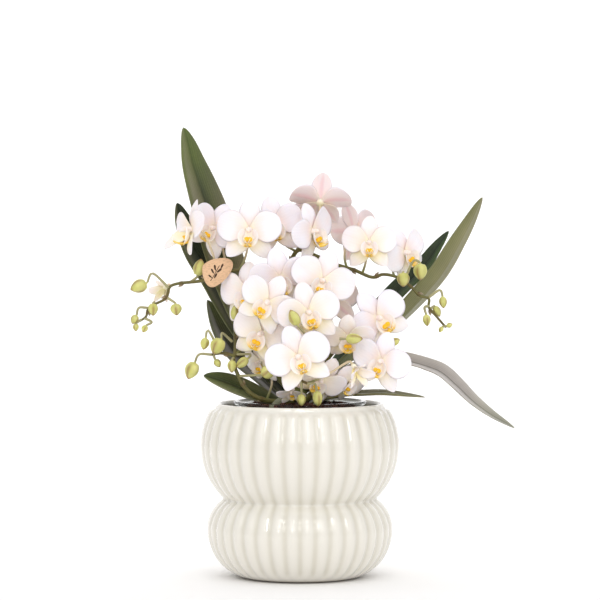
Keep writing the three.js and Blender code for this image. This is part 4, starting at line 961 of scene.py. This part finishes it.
def addLip(shell, size, reach, gold, chance):
    look = bloomLook
    freckles = chance.uniform(0, 50)

    def speckled(colour, point, amount):
        spot = noise.noise(point * 1.7 + Vector((freckles, 0, 0)))
        return mixed(colour, look["speck"], amount * between(0.12, 0.5, spot))

    shares = [math.sin(0.5 * math.pi * i / 16) for i in range(16)] + [1]
    # the side lobes stand up on either side of the column as the two walls of a round cup
    for hand in (-1, 1):
        def wallMiddle(t, s, hand=hand):
            turn = math.radians(-88 + 138 * t)
            radial = Vector((hand * math.cos(turn), math.sin(turn), 0))
            centre = Vector((hand * 4.7 * math.cos(turn), -3.1 + 5.7 * math.sin(turn), 4.9 + 0.6 * t))
            half = 3.9 * math.sin(math.pi * min(1, 0.22 + 0.78 * t) ** 1.15) ** 0.5 if t < 1 else 0
            flare = radial * (half * (0.68 * s - 0.12 * s * s))
            return (centre + flare + Vector((0, 0, 0.7 * half * s))) * size, half

        def wallPaint(t, s, side, hand=hand):
            colour = mixed(look["lipCream"], look["white"], 0.35 + 0.4 * between(0.3, 1, t))
            colour = mixed(colour, look["blush"], 0.35 * between(0.3, -0.8, s) * between(0.2, 0.6, t))
            colour = mixed(colour, look["midlobe"], between(0.2 + 0.35 * gold, 0.1 * gold, t))
            return speckled(colour, wallMiddle(t, s)[0] / size,
                            0.35 * between(0.75, 0.35, t) if side > 0 else 0)

        def wallFace(t, hand=hand):
            turn = math.radians(-88 + 138 * t)
            return Vector((-hand * math.cos(turn) * 0.72, -math.sin(turn) * 0.72, 0.69)).normalized()

        addSheet(shell, shares, 12, wallMiddle, wallFace, 0.3 * size, wallPaint)

    # the floor of the cup closes it behind the callus
    def floorMiddle(t, s):
        half = 4.3 * math.sin(math.pi * (0.15 + 0.8 * t)) ** 0.6 if t < 1 else 0
        return Vector((half * s, 0.4 - 8.4 * t, 2.4 + 2.0 * s * s + 2.2 * t * t)) * size, half * size

    floorPaint = lambda t, s, side: mixed(look["lipCream"], look["claw"], between(0.5, 0.9, t) * 0.6)
    addSheet(shell, shares, 8, floorMiddle, lambda t: Vector((0, 0.35, 0.94)), 0.3 * size, floorPaint)

    # the middle lobe is a tongue, yellow at its root, that runs forwards from the cup and turns up
    spine = [Vector(p) for p in ((0, -5.0, 3.0), (0, -7.4, 3.9), (0, -8.7, 6.2), (0, -8.7, 8.4 * reach),
                                 (0, -7.4, 10.2 * reach))]
    path = dict(zip(shares, evenPath(spine, shares)[0]))

    def lobeMiddle(t, s):
        centre, along = path[t]
        half = (1.9 + (1 + gold) * math.sin(math.pi * min(1, 0.1 + 0.9 * t)) ** 1.2) * (1 - t ** 5)
        up = along.cross(Vector((-1, 0, 0))).normalized()
        return (centre + Vector((half * s, 0, 0)) + up * (0.9 * s * s)) * size, half * size

    def lobePaint(t, s, side):
        return mixed(look["midlobe"], look["lipCream"], 0.7 * between(0.2 + 0.5 * gold, 1.0,
                                                                      t) * between(0.9, 0.3, abs(s)))

    upOf = lambda t: path[t][1].cross(Vector((-1, 0, 0))).normalized()
    addSheet(shell, shares, 10, lobeMiddle, upOf, 0.32 * size, lobePaint)

    # callus: a warm yellow cushion with two humps; whiskers: two fine curled threads at the tip
    for hand in (-1, 1):
        humps = [(Vector((hand * (0.9 + 0.35 * gold), -4.5 - 1.8 * i / 10, 4.3 + 2.3 * i / 10)) * size,
                  Vector((0, -0.6, 0.8)))
                 for i in range(11)]
        radii = [size * (1.45 + 0.45 * gold) * math.sqrt(max(0, 1 - ((i - 5) / 5.3) ** 2))
                 for i in range(10)] + [0]
        addRod(shell, humps, radii, 14, lambda t, a: mixed(look["callus"], look["midlobe"],
                                                           between(0.75, 1, t)))
        curl = [Vector((hand * 0.4, -7.6, 9.9 * reach)), Vector((hand * 1.0, -6.4, 11.2 * reach)),
                Vector((hand * 1.8, -4.9, 11.8 * reach)), Vector((hand * 2.3, -3.6, 11.3 * reach))]
        thread = [(p * size, d) for p, d in evenPath(curl, [i / 14 for i in range(15)])[0]]
        addRod(shell, thread, [0.22 * size * (1 - 0.5 * i / 14) for i in range(14)] + [0], 6,
               lambda t, a: mixed(look["lipCream"], look["callus"], between(0.6, 1, t)))


def addColumn(shell, size, open):
    look = bloomLook
    # the seat behind the tepals, from the pale green stalk end
    rows = [(-3.1, 1.0), (-2.6, 1.15), (-1.9 * size, 2.2 * size), (-0.6, 2.45 * size),
            (0.8 * size, 2.4 * size)]
    if open > 0.5:  # the column leans up and forwards, and ends in a rounded cap with a small beak
        rows += [(z * size, r * size) for z, r in ((2.2, 2.1), (3.4, 1.8), (4.4, 1.6), (5.0, 1.6),
                                                   (5.7, 1.45),
                                                   (6.3, 1.05), (6.7, 0.5), (6.85, 0))]
    else:
        rows += [(1.9 * size, 1.6 * size), (2.2 * size, 0)]
    path = [(Vector((0, 0.3 * max(0, z) ** 1.1 / 2.4, z)), Vector((0, 0, 1))) for z, _ in rows]
    top = rows[-1][0]

    def paint(share, turn):
        z = rows[round(share * (len(rows) - 1))][0]
        colour = mixed(look["calyx"], look["cream"], between(-3.1, -0.5, z))
        colour = mixed(colour, look["columnPink"], between(0.5, 2.5, z))
        colour = mixed(colour, look["speck"], 0.16 * between(1.5, 2.5, z) * between(4.5 * size, 3.5 * size,
                                                                                    z))
        return mixed(colour, look["cap"], between(0.66 * top, 0.74 * top, z)) if open > 0.5 else colour

    flat = lambda share, turn: 1 - 0.12 * max(0, -math.sin(turn)) * between(0.4, 0.7, share)
    addRod(shell, path, [r for _, r in rows], 20, paint, flat)


def makeBlooms():
    # Petals are thin turgid cells: they glow where light comes through, with a faint crystalline sparkle and
    # veins that fan out about 2 mm apart.
    material = livingTissue("orchidPetal", (2.1, 0.006), 0.25, 0.5, (0.25, (1.0, 0.8, 0.6), 0.0012),
                            (60.0, 0.01), 0.14)
    for key in ("white", "blush", "lilac", "cream", "yellow", "claw", "back", "backMidline", "lipCream",
                "callus", "calyx",
                "speck", "columnPink", "cap", "midlobe"):
        bloomLook[key] = linearColour(bloomLook[key])
    for name in ("petal", "topSepal", "sideSepal"):
        bloomLook[name]["name"] = name
    for index, (node, plan) in enumerate(blooms.items()):
        chance = random.Random(100 + index)
        warmth = warmBlooms.get(node, 0)
        shell = newShell()
        for (kind, angle), lean in zip(tepals, plan.get("leans", [0] * 5)):
            addTepal(shell, bloomLook[kind], angle, lean, plan, chance, warmth)
        addColumn(shell, plan["size"], plan["open"])
        if plan["open"] > 0.5:
            addLip(shell, plan["size"], lipReach.get(node, 1), goldenLips.get(node, 0.45), chance)
        makePiece(camelName(node), shell, material, node, bloomToWorld(plan))


makeBlooms()
print("blooms done")


# Flower spikes: stems, flower stalks and buds

spikeLook = {"stem": "747a42", "stemShade": "5c4628", "stalk": "dccbaa", "bud": "bcbc5c",
             "budPale": "dfdb94",
             "budTip": "8a5232", "seam": "8a5a3a", "stalkRadius": 0.85, "stalkDrop": 12, "stalkSwing": 0.15,
             "stalkLength": 3.2, "nodeSpacing": 17}
spikes = {
  "spike_upper_left": {
    "stems": [
      {
        "line": [
          [-4, -8, 124], [-9, -14, 132], [-16, -16, 144], [-24, -16, 163], [-28, -16, 182],
          [-32, -16, 201], [-41, -16, 215], [-53, -16, 213], [-68, -17, 208], [-90, -17, 204],
          [-93, -17, 196], [-105, -17, 189], [-107, -17, 183], [-111, -17, 180],
        ],
        "start": 2,
        "end": 0.8,
     },
    ],
    "carries": [
      "bloom_left_tip", "bloom_left_inner", "bloom_crown_left", "bloom_middle_left",
      "bloom_opening_left",
    ],
    "buds": [
      {
        "at": [-112, -17, 204], "tip": [-1, 0, -0.4], "size": [12.5, 9.5],
        "from": [-91, -17, 203], "over": [-103, -17, 213],
     },
      {"at": [-102, -18, 188], "tip": [0, 0, -1], "size": [9, 7], "from": [-101, -17, 193]},
      {"at": [-86, -18, 188], "tip": [0.1, 0, -1], "size": [8.5, 8], "from": [-92, -17, 196]},
      {
        "at": [-115, -17, 181], "tip": [-0.5, 0, -1], "size": [7, 5.6],
        "from": [-105, -17, 189], "over": [-112, -17, 189],
     },
      {"at": [-114, -17, 175.5], "tip": [0, 0, -1], "size": [5.5, 4.4], "from": [-110, -17, 181]},
      {
        "at": [-108, -17, 174.5], "tip": [-0.5, 0, -1], "size": [5.5, 4.6],
        "from": [-108, -17, 182], "over": [-103, -17, 179],
     },
      {"at": [-70, -13, 217], "tip": [0.2, 0, 1], "size": [12.5, 8.5], "from": [-76, -17, 207]},
    ],
 },
  "spike_lower_left": {
    "stems": [
      {
        "line": [
          [-5, -8, 123], [-14, -18, 124], [-23, -22, 125], [-31, -24, 128], [-38, -25, 134],
          [-43, -25, 143], [-46, -25, 152], [-45, -24, 160], [-45, -22, 170], [-45, -22, 179],
        ],
        "start": 1.9,
        "end": 0.9,
     },
      {"line": [[-45, -25, 156], [-54, -26, 158], [-61, -26, 157]], "start": 1.3, "end": 0.9},
      {
        "line": [
          [-45, -24, 156], [-39, -23, 163], [-31, -21.5, 174], [-24, -20, 184], [-21, -19, 197],
          [-18, -20, 208],
        ],
        "start": 1.4,
        "end": 0.9,
     },
    ],
    "carries": ["bloom_middle_upper", "bloom_middle_front", "bloom_low_left", "bloom_low_side"],
    "buds": [
      {
        "at": [-75, -26, 146], "tip": [-0.4, 0, -1], "size": [13, 10],
        "from": [-61, -26, 157], "over": [-70, -26, 157],
     },
      {
        "at": [-57, -31, 163], "tip": [-0.5, 0, -1], "size": [12.5, 10.5],
        "from": [-47, -24, 166], "over": [-54, -29, 172],
     },
      {
        "at": [-66, -26, 164.5], "tip": [-0.2, 0, -1], "size": [8.5, 6.4],
        "from": [-55, -26, 158], "over": [-64, -26, 174],
     },
      {"at": [-57, -26, 151], "tip": [0.5, 0, -0.8], "size": [6.4, 5], "from": [-60, -26, 157]},
      {"at": [-47, -29, 149], "tip": [0, 0, -1], "size": [9, 6.4], "from": [-46, -25, 155]},
      {
        "at": [-40, -29, 151.5], "tip": [-0.8, 0, -0.6], "size": [10.5, 6.6],
        "from": [-45, -24, 157], "over": [-34, -28, 157],
     },
      {"at": [-45, -22, 186], "tip": [0, 0, 1], "size": [11, 6.6], "from": [-45, -22, 179]},
      {"at": [-22, -40, 146], "tip": [0.5, -0.7, 0.4], "size": [10.5, 9.6], "from": [-42, -25, 142]},
    ],
 },
  "spike_right": {
    "stems": [
      {
        "line": [
          [-1, 5, 127], [0, 9, 134], [-1, 10, 151], [-3, 10, 180], [-6, 8, 204], [-6, 4, 221],
          [-1, 0, 229], [6, -2, 227], [25, -4, 219], [38, -4, 215], [51, -4, 210], [58, -4, 212],
          [68, -4, 210], [77, -4, 204], [84, -4, 197], [90, -4, 195], [90, -4, 189], [95, -4, 183],
          [102, -4, 175],
        ],
        "start": 2.1,
        "end": 0.8,
     },
    ],
    "carries": [
      "bloom_crown_middle", "bloom_crown_back", "bloom_crown_side", "bloom_top_back",
      "bloom_top_right", "bloom_right_face", "bloom_right_tip", "bloom_rear_left", "bloom_rear_right",
      "bloom_rear_low",
    ],
    "buds": [
      {"at": [84, -7, 214], "tip": [0, 0, -1], "size": [12, 10], "from": [73, -4, 208],
       "over": [80, -6, 222]},
      {"at": [72, -9, 208.5], "tip": [0, 0, -1], "size": [10.5, 9], "from": [70, -4, 210]},
      {
        "at": [100, -4, 192.5], "tip": [0.1, 0, -1], "size": [8.4, 5.6],
        "from": [90, -4, 196], "over": [98, -4, 201],
     },
      {
        "at": [88.5, -6, 180], "tip": [0.1, 0, -1], "size": [8.4, 5.6],
        "from": [90, -4, 190], "over": [87, -6, 189],
     },
      {"at": [96, 0, 186], "tip": [0.5, 0, -1], "size": [8.4, 5.6], "from": [91, -4, 188]},
      {"at": [104.5, -4, 176.5], "tip": [0.7, 0, 0.3], "size": [4.4, 3.6], "from": [101, -4, 176]},
      {"at": [98.5, -4, 173.5], "tip": [-0.5, 0, -0.8], "size": [4.4, 3.4], "from": [101, -4, 176]},
    ],
 },
  "spike_front": {
    "stems": [
      {
        "line": [
          [0, -8, 120.5], [4, -15, 125], [10, -17, 132], [14, -18, 140], [19, -20, 153],
          [22, -22, 168], [20, -22, 184], [18, -22, 197],
        ],
        "start": 1.9,
        "end": 0.9,
     },
      {"line": [[18, -19, 152], [27, -20, 163], [36, -18, 174], [43, -16, 180]], "start": 1.4,
       "end": 0.9},
      {
        "line": [
          [9, -17, 133], [2, -26, 141], [-2, -36, 145], [-4, -49, 144], [0, -53, 141], [5, -53, 138.5],
        ],
        "start": 1.3,
        "end": 0.9,
     },
    ],
    "carries": [
      "bloom_heart_upper", "bloom_heart_lower", "bloom_flank_upper", "bloom_flank_lower",
      "bloom_front", "bloom_nodding", "bloom_opening", "bloom_skirt_middle", "bloom_skirt_right",
      "bloom_skirt_small",
    ],
    "buds": [
      {"at": [-4, -64, 184], "tip": [-0.5, 0, 1], "size": [12, 7.8], "from": [10, -44, 160],
       "over": [4, -62, 172]},
      {"at": [37, -50, 169], "tip": [1, 0, 0], "size": [12, 7.4], "from": [27, -50, 169]},
      {"at": [1, -50, 127], "tip": [0, 0, -1], "size": [8.4, 6.2], "from": [1, -53, 140]},
      {
        "at": [12, -50, 128], "tip": [0.1, 0, -1], "size": [11, 7],
        "from": [5, -53, 138.5], "over": [10, -53, 138.5],
     },
      {
        "at": [66, -24, 166], "tip": [0.8, 0, 0.4], "size": [7, 5.6],
        "from": [34, -18.5, 171], "over": [52, -20, 159],
     },
    ],
 },
}


def addStem(shell, stem, seed):
    look = spikeLook
    _, length = evenPath(stem["line"], [0, 1])
    steps = max(12, round(length / 1.1))
    shares = [i / steps for i in range(steps + 1)]
    path, _ = evenPath(stem["line"], shares)
    radii = []
    for t in shares:
        radius = stem["start"] + (stem["end"] - stem["start"]) * t
        gap = look["nodeSpacing"]
        beside = abs((t * length + seed * 5) % gap - gap / 2)
        radii.append(radius * (1 + 0.22 * between(2.2, 0.2, beside)))

    def paint(t, turn):
        patch = 0.5 + 0.5 * noise.noise(Vector((t * length / 14, seed * 3.3, 0)))
        beside = abs((t * length + seed * 5) % look["nodeSpacing"] - look["nodeSpacing"] / 2)
        colour = mixed(look["stem"], look["stemShade"], 0.25 + 0.75 * patch * (0.4 + 0.6 * t))
        return mixed(colour, look["stemShade"], 0.6 * between(1.6, 0.4, beside))

    addRod(shell, path, radii, 14, paint)
    # a small papery bract clasps each node
    side = 1
    place = look["nodeSpacing"] / 2 - (seed * 5) % look["nodeSpacing"]
    while place < length - 3:
        if place > 4:
            point, along = evenPath(stem["line"], [place / length])[0][0]
            outwards = Vector((0, -1, 0)).cross(along).normalized() * side
            base = point - along * 1.2 + outwards * 0.5
            tip = point + along * 2.6 + outwards * (stem["start"] + 0.5)
            bract = [(base.lerp(tip, i / 6), (tip - base).normalized()) for i in range(7)]
            widths = [1.1 * math.sin(math.pi * (0.25 + 0.75 * i / 6)) for i in range(6)] + [0]
            addRod(shell, bract, widths, 8, lambda t, a: mixed(look["stemShade"], look["stalk"], t * 0.5))
        place += look["nodeSpacing"]
        side = -side


def addBud(shell, bud, seed):
    look = spikeLook
    along = Vector(bud["tip"]).normalized()
    length, width = bud["size"]
    onAxis = lambda t: Vector(bud["at"]) + along * (length * (t - 0.5))
    stalk = [Vector(bud[k]) for k in ("from", "over") if k in bud] + [onAxis(0), onAxis(0.04)]
    count = 16
    path, _ = evenPath(stalk, [i / count for i in range(count + 1)])
    radii = [look["stalkRadius"] * (1.15 - 0.25 * i / count) for i in range(count + 1)]
    budRows = 20
    for i in range(1, budRows + 1):
        t = 0.04 + 0.96 * i / budRows
        path.append((onAxis(t), along))
        swell = math.sin(math.pi * min(1, 0.06 + 0.94 * t) ** 0.92) ** 0.72
        radii.append(max(look["stalkRadius"] * 0.9 if t < 0.3 else 0,
                         0.5 * width * swell) if i < budRows else 0)
    total = len(path) - 1
    begin = count / total

    def paint(share, turn):
        t = (share - begin) / (1 - begin)
        if t < 0:
            return mixed(look["stem"], look["stalk"], 0.35)
        seam = abs(math.cos(1.5 * turn + seed)) ** 14
        colour = mixed(look["bud"], look["budPale"],
                       0.5 + 0.5 * noise.noise(Vector((t * 2, turn, seed * 3.0))))
        colour = mixed(colour, look["seam"], 0.75 * seam * between(0.05, 0.4, t))
        return mixed(colour, look["budTip"], 0.8 * between(0.8, 1.0, t))

    def shape(share, turn):
        t = (share - begin) / (1 - begin)
        return 1 if t < 0 else 1 - 0.07 * abs(math.cos(1.5 * turn + seed)) ** 10 * between(0.05, 0.3, t)

    addRod(shell, path, radii, 24, paint, shape)


def addFlowerStalk(shell, paths, plan):
    look = spikeLook
    facing = lookOf(*plan["looks"])
    end = Vector(plan["at"]) - facing * look["stalkLength"]
    behind = end - facing * 3.5
    goal = behind - Vector((0, 0, look["stalkDrop"]))
    start = min((p for path in paths for p, _ in path), key=lambda p: (p - goal).length)
    swing = look["stalkSwing"] * (start - end).length
    knee = start.lerp(behind, 0.5) - facing * swing - Vector((0, 0, swing))
    path, _ = evenPath([start, knee, behind, end], [i / 24 for i in range(25)])
    radii = [look["stalkRadius"] * (1.1 - 0.2 * math.sin(math.pi * i / 24)) for i in range(25)]
    addRod(shell, path, radii, 10, lambda t, a: mixed(look["stem"], look["stalk"], between(0.0, 0.5, t)))


def makeSpikes():
    # Smooth young stems with a thin wax bloom: satin, green to olive brown.
    material = livingTissue("spikeSkin", (1.1, 0.03), 0.4, 0.42, (0.12, (1.0, 0.8, 0.3), 0.0012),
                            (140.0, 0.12), 0.3)
    for key in ("stem", "stemShade", "stalk", "bud", "budPale", "budTip", "seam"):
        spikeLook[key] = linearColour(spikeLook[key])
    for index, (node, plan) in enumerate(spikes.items()):
        shell = newShell()
        paths = []
        for number, stem in enumerate(plan["stems"]):
            addStem(shell, stem, index * 3 + number)
            paths.append(evenPath(stem["line"], [i / 60 for i in range(61)])[0])
        for name in plan["carries"]:
            addFlowerStalk(shell, paths, blooms[name])
        for number, bud in enumerate(plan["buds"]):
            addBud(shell, bud, index * 10 + number)
        makePiece(camelName(node), shell, material, node)


makeSpikes()
print("spikes done")


# Card tag: plain kraft card with a small printed leaf sprig

tag = {"centre": (-57, -19.6, 214), "thickness": 0.8, "loopCentre": (-57.5, -16.25, 211.9),
       "loopRadius": 2.05,
       "loopWall": 1.1, "loopWidth": 4, "card": "e4bd97", "ink": "4a3527",
       "start": (-10.4, 4.5), "sides": [((-6, 9.6), (4, 9.8)), ((11.6, 9.6), (10.4, 3.4)),
                                        ((7.6, -5), (-1.6, -10)),
                                        ((-6, -12), (-8.8, -6.8)), ((-11.6, -1), (-10.4, 4.5))]}


def kraftCard(name, colour):
    # Uncoated kraft board: matt, warm, with short darker fibres.
    material, tree = newMaterial(name)
    where = addNode(tree, "ShaderNodeTexCoord").outputs["Object"]
    fibre = addNode(tree, "ShaderNodeMapping", Vector=where, Scale=(500.0, 500.0, 1400.0))
    flecks = addNode(tree, "ShaderNodeTexNoise", Vector=fibre.outputs[0], Scale=1.0, Detail=4.0)
    base = linearColour(colour)
    shade = setRamp(addNode(tree, "ShaderNodeValToRGB", Fac=flecks.outputs[0]),
                    [(0.3, tuple(c * 0.8 for c in base)), (0.5, base),
                     (0.75, tuple(min(1, c * 1.1) for c in base))])
    bump = addNode(tree, "ShaderNodeBump", Strength=0.3, Distance=0.0002, Height=flecks.outputs[0])
    surface = addNode(tree, "ShaderNodeBsdfPrincipled", Base_Color=shade.outputs[0], Roughness=0.85,
                      Normal=bump.outputs[0])
    finishMaterial(tree, surface)
    return material


def flatSlab(shell, outline, front, back):  # outline in x and z, between two depths; a rounded front edge
    middle = Vector((sum(p[0] for p in outline) / len(outline), 0,
                     sum(p[1] for p in outline) / len(outline)))
    rings = []
    for depth, inset in ((back, 0.15), (back - 0.12, 0), (front + 0.12, 0), (front, 0.15)):
        ring = []
        for x, z in outline:
            flat = Vector((x, 0, z)) - middle
            ring.append(middle + flat * (1 - inset / max(1, flat.length)) + Vector((0, depth, 0)))
        rings.append(ring)
    addRings(shell, rings, [[(1, 1, 1)] * len(outline)] * 4, [[(0, 0)] * len(outline)] * 4)


def makeTag():
    cx, cy, cz = tag["centre"]
    outline = []
    start = tag["start"]
    for corner, end in tag["sides"]:
        for i in range(10):
            w = i / 10
            outline.append(tuple(a * (1 - w) ** 2 + 2 * b * w * (1 - w) + c * w * w
                                 for a, b, c in zip(start, corner, end)))
        start = end
    shell = newShell()
    flatSlab(shell, [(cx + x, cz + z) for x, z in outline], cy - tag["thickness"], cy)
    # the loop is a strip of the same card that goes round the stem
    along = Vector((-0.97, -0.02, -0.24)).normalized()
    side = Vector((0, 1, 0))
    other = along.cross(side)
    rings = []
    for k in range(36):
        turn = 2 * math.pi * k / 36
        out = side * math.cos(turn) + other * math.sin(turn)
        centre = Vector(tag["loopCentre"])
        inner, outer, half = tag["loopRadius"], tag["loopRadius"] + tag["loopWall"], tag["loopWidth"] / 2
        rings.append([centre + out * r + along * x for r, x in ((inner, -half), (outer, -half),
                                                                (outer, half), (inner, half))])
    first = len(shell["points"])
    for ring in rings:
        shell["points"] += ring
        shell["tints"] += [(1, 1, 1)] * 4
        shell["places"] += [(0, 0)] * 4
    for k in range(36):
        for j in range(4):
            a, b = first + 4 * k, first + 4 * ((k + 1) % 36)
            shell["faces"].append((a + j, a + (j + 1) % 4, b + (j + 1) % 4, b + j))
    makePiece("cardTag", shell, kraftCard("kraftBoard", tag["card"]), "card_tag")
    # the printed sprig: a stalk with paired leaves, a hair proud of the card
    ink = newShell()
    front = cy - tag["thickness"]
    for x, z, turn, length in ((-1.6, -2.6, 62, 4.2), (-3.6, 0.6, 118, 4.0), (0.9, 1.0, 40, 4.6),
                               (-1.9, 3.0, 100, 4.4),
                               (2.9, 4.0, 66, 4.0), (-5.2, -3.0, 140, 3.4)):
        a = math.radians(turn)
        leafShape = []
        for i in range(20):
            w = 2 * math.pi * i / 20
            u, v = 0.5 * length * math.cos(w), 0.17 * length * math.sin(w) * (1 + 0.3 * math.cos(w))
            leafShape.append((cx + x + u * math.cos(a) - v * math.sin(a),
                              cz + z + u * math.sin(a) + v * math.cos(a)))
        flatSlab(ink, leafShape, front - 0.08, front + 0.3)
    stalk = [(-5.0, -6.4), (-3.2, -3.8), (-1.6, -0.8), (0.1, 2.2), (1.4, 4.4), (1.0, 4.6), (-0.4, 2.4),
             (-2.0, -0.5), (-3.6, -3.6), (-5.4, -6.2)]
    flatSlab(ink, [(cx + x, cz + z) for x, z in stalk], front - 0.08, front + 0.3)
    sprig = makePiece("cardTagPrint", ink, kraftCard("printedInk", tag["ink"]), "card_tag")
    return sprig


makeTag()
print("tag done")


# Studio: a pale floor that sweeps up behind, soft lights and the camera

# Seen from straight behind, the sweep stands in front of the plant.
studio = {"floor": "fbfafa", "sweepFrom": 0.9, "sweepRadius": 0.9, "floorHalf": 4.0, "sweepSteps": 24,
          "wallTop": 4.0, "ambient": 0.74}
studioLights = {  # place, width and height, watts, and the point it is turned to
    "keyLight": ((-1.3, -1.5, 1.5), (1.0, 1.4), 3, (0, 0, 0.16)),
    "frontBox": ((-0.05, -2.4, 1.6), (0.2, 2.1), 9, (0, 0, 0.12)),
    "frontStrip": ((0.45, -2.35, 1.55), (0.14, 2.0), 4.5, (0, 0, 0.12)),
    "stripBox": ((0.95, -2.2, 1.5), (0.16, 1.8), 4.5, (0, 0, 0.12)),
    "stripBoxLeft": ((-0.8, -2.3, 1.5), (0.14, 1.8), 4.5, (0, 0, 0.12)),
    "fillLight": ((1.5, -1.3, 0.9), (0.7, 1.4), 2, (0, 0, 0.14)),
    "topLight": ((0.1, 0.2, 1.8), (1.6, 1.6), 4, (0, 0, 0.1)),
    "backdropLight": ((0, 0.3, 1.0), (1.6, 0.5), 9, (0, 1.22, 0.6)),
}
photoCamera = {"place": (0, -2.15, 0.261), "tiltDown": 1.785, "lens": 184.375, "sensor": 36, "farthest": 30}


def makeStudio():
    floor = bpy.data.meshes.new("studioFloor")
    half, steps = studio["floorHalf"], studio["sweepSteps"]
    line = [(-half, 0.0), (-1.0, 0.0), (studio["sweepFrom"], 0.0)]
    for i in range(1, steps + 1):
        a = 0.5 * math.pi * i / steps
        line.append((studio["sweepFrom"] + studio["sweepRadius"] * math.sin(a),
                     studio["sweepRadius"] * (1 - math.cos(a))))
    line.append((line[-1][0], studio["wallTop"]))
    points = [(x, y, z) for y, z in line for x in (-half, half)]
    faces = [(2 * i, 2 * i + 1, 2 * i + 3, 2 * i + 2) for i in range(len(line) - 1)]
    floor.from_pydata(points, [], faces)
    floor.polygons.foreach_set("use_smooth", [True] * len(faces))
    material, tree = newMaterial("studioPaper")
    surface = addNode(tree, "ShaderNodeBsdfPrincipled", Base_Color=(*linearColour(studio["floor"]), 1),
                      Roughness=0.9)
    finishMaterial(tree, surface)
    floor.materials.append(material)
    sweep = bpy.data.objects.new("studioFloor", floor)
    bpy.context.collection.objects.link(sweep)

    world = bpy.data.worlds.new("studioLight")
    bpy.context.scene.world = world
    world.use_nodes = True
    world.node_tree.nodes["Background"].inputs[0].default_value = (1, 1, 1, 1)
    world.node_tree.nodes["Background"].inputs[1].default_value = studio["ambient"]

    for name, (place, size, power, aim) in studioLights.items():
        light = bpy.data.lights.new(name, "AREA")
        light.shape, light.size, light.size_y, light.energy = "RECTANGLE", *size, power
        lamp = bpy.data.objects.new(name, light)
        lamp.location = place
        lamp.rotation_euler = (Vector(aim) - Vector(place)).to_track_quat("-Z", "Y").to_euler()
        bpy.context.collection.objects.link(lamp)

    view = photoCamera
    camera = bpy.data.cameras.new("photoCamera")
    camera.lens, camera.sensor_width, camera.clip_end = view["lens"], view["sensor"], view["farthest"]
    viewer = bpy.data.objects.new("photoCamera", camera)
    viewer.location = view["place"]
    viewer.rotation_euler = (math.radians(90 - view["tiltDown"]), 0, 0)
    bpy.context.collection.objects.link(viewer)
    bpy.context.scene.camera = viewer


makeStudio()
print("studio done")
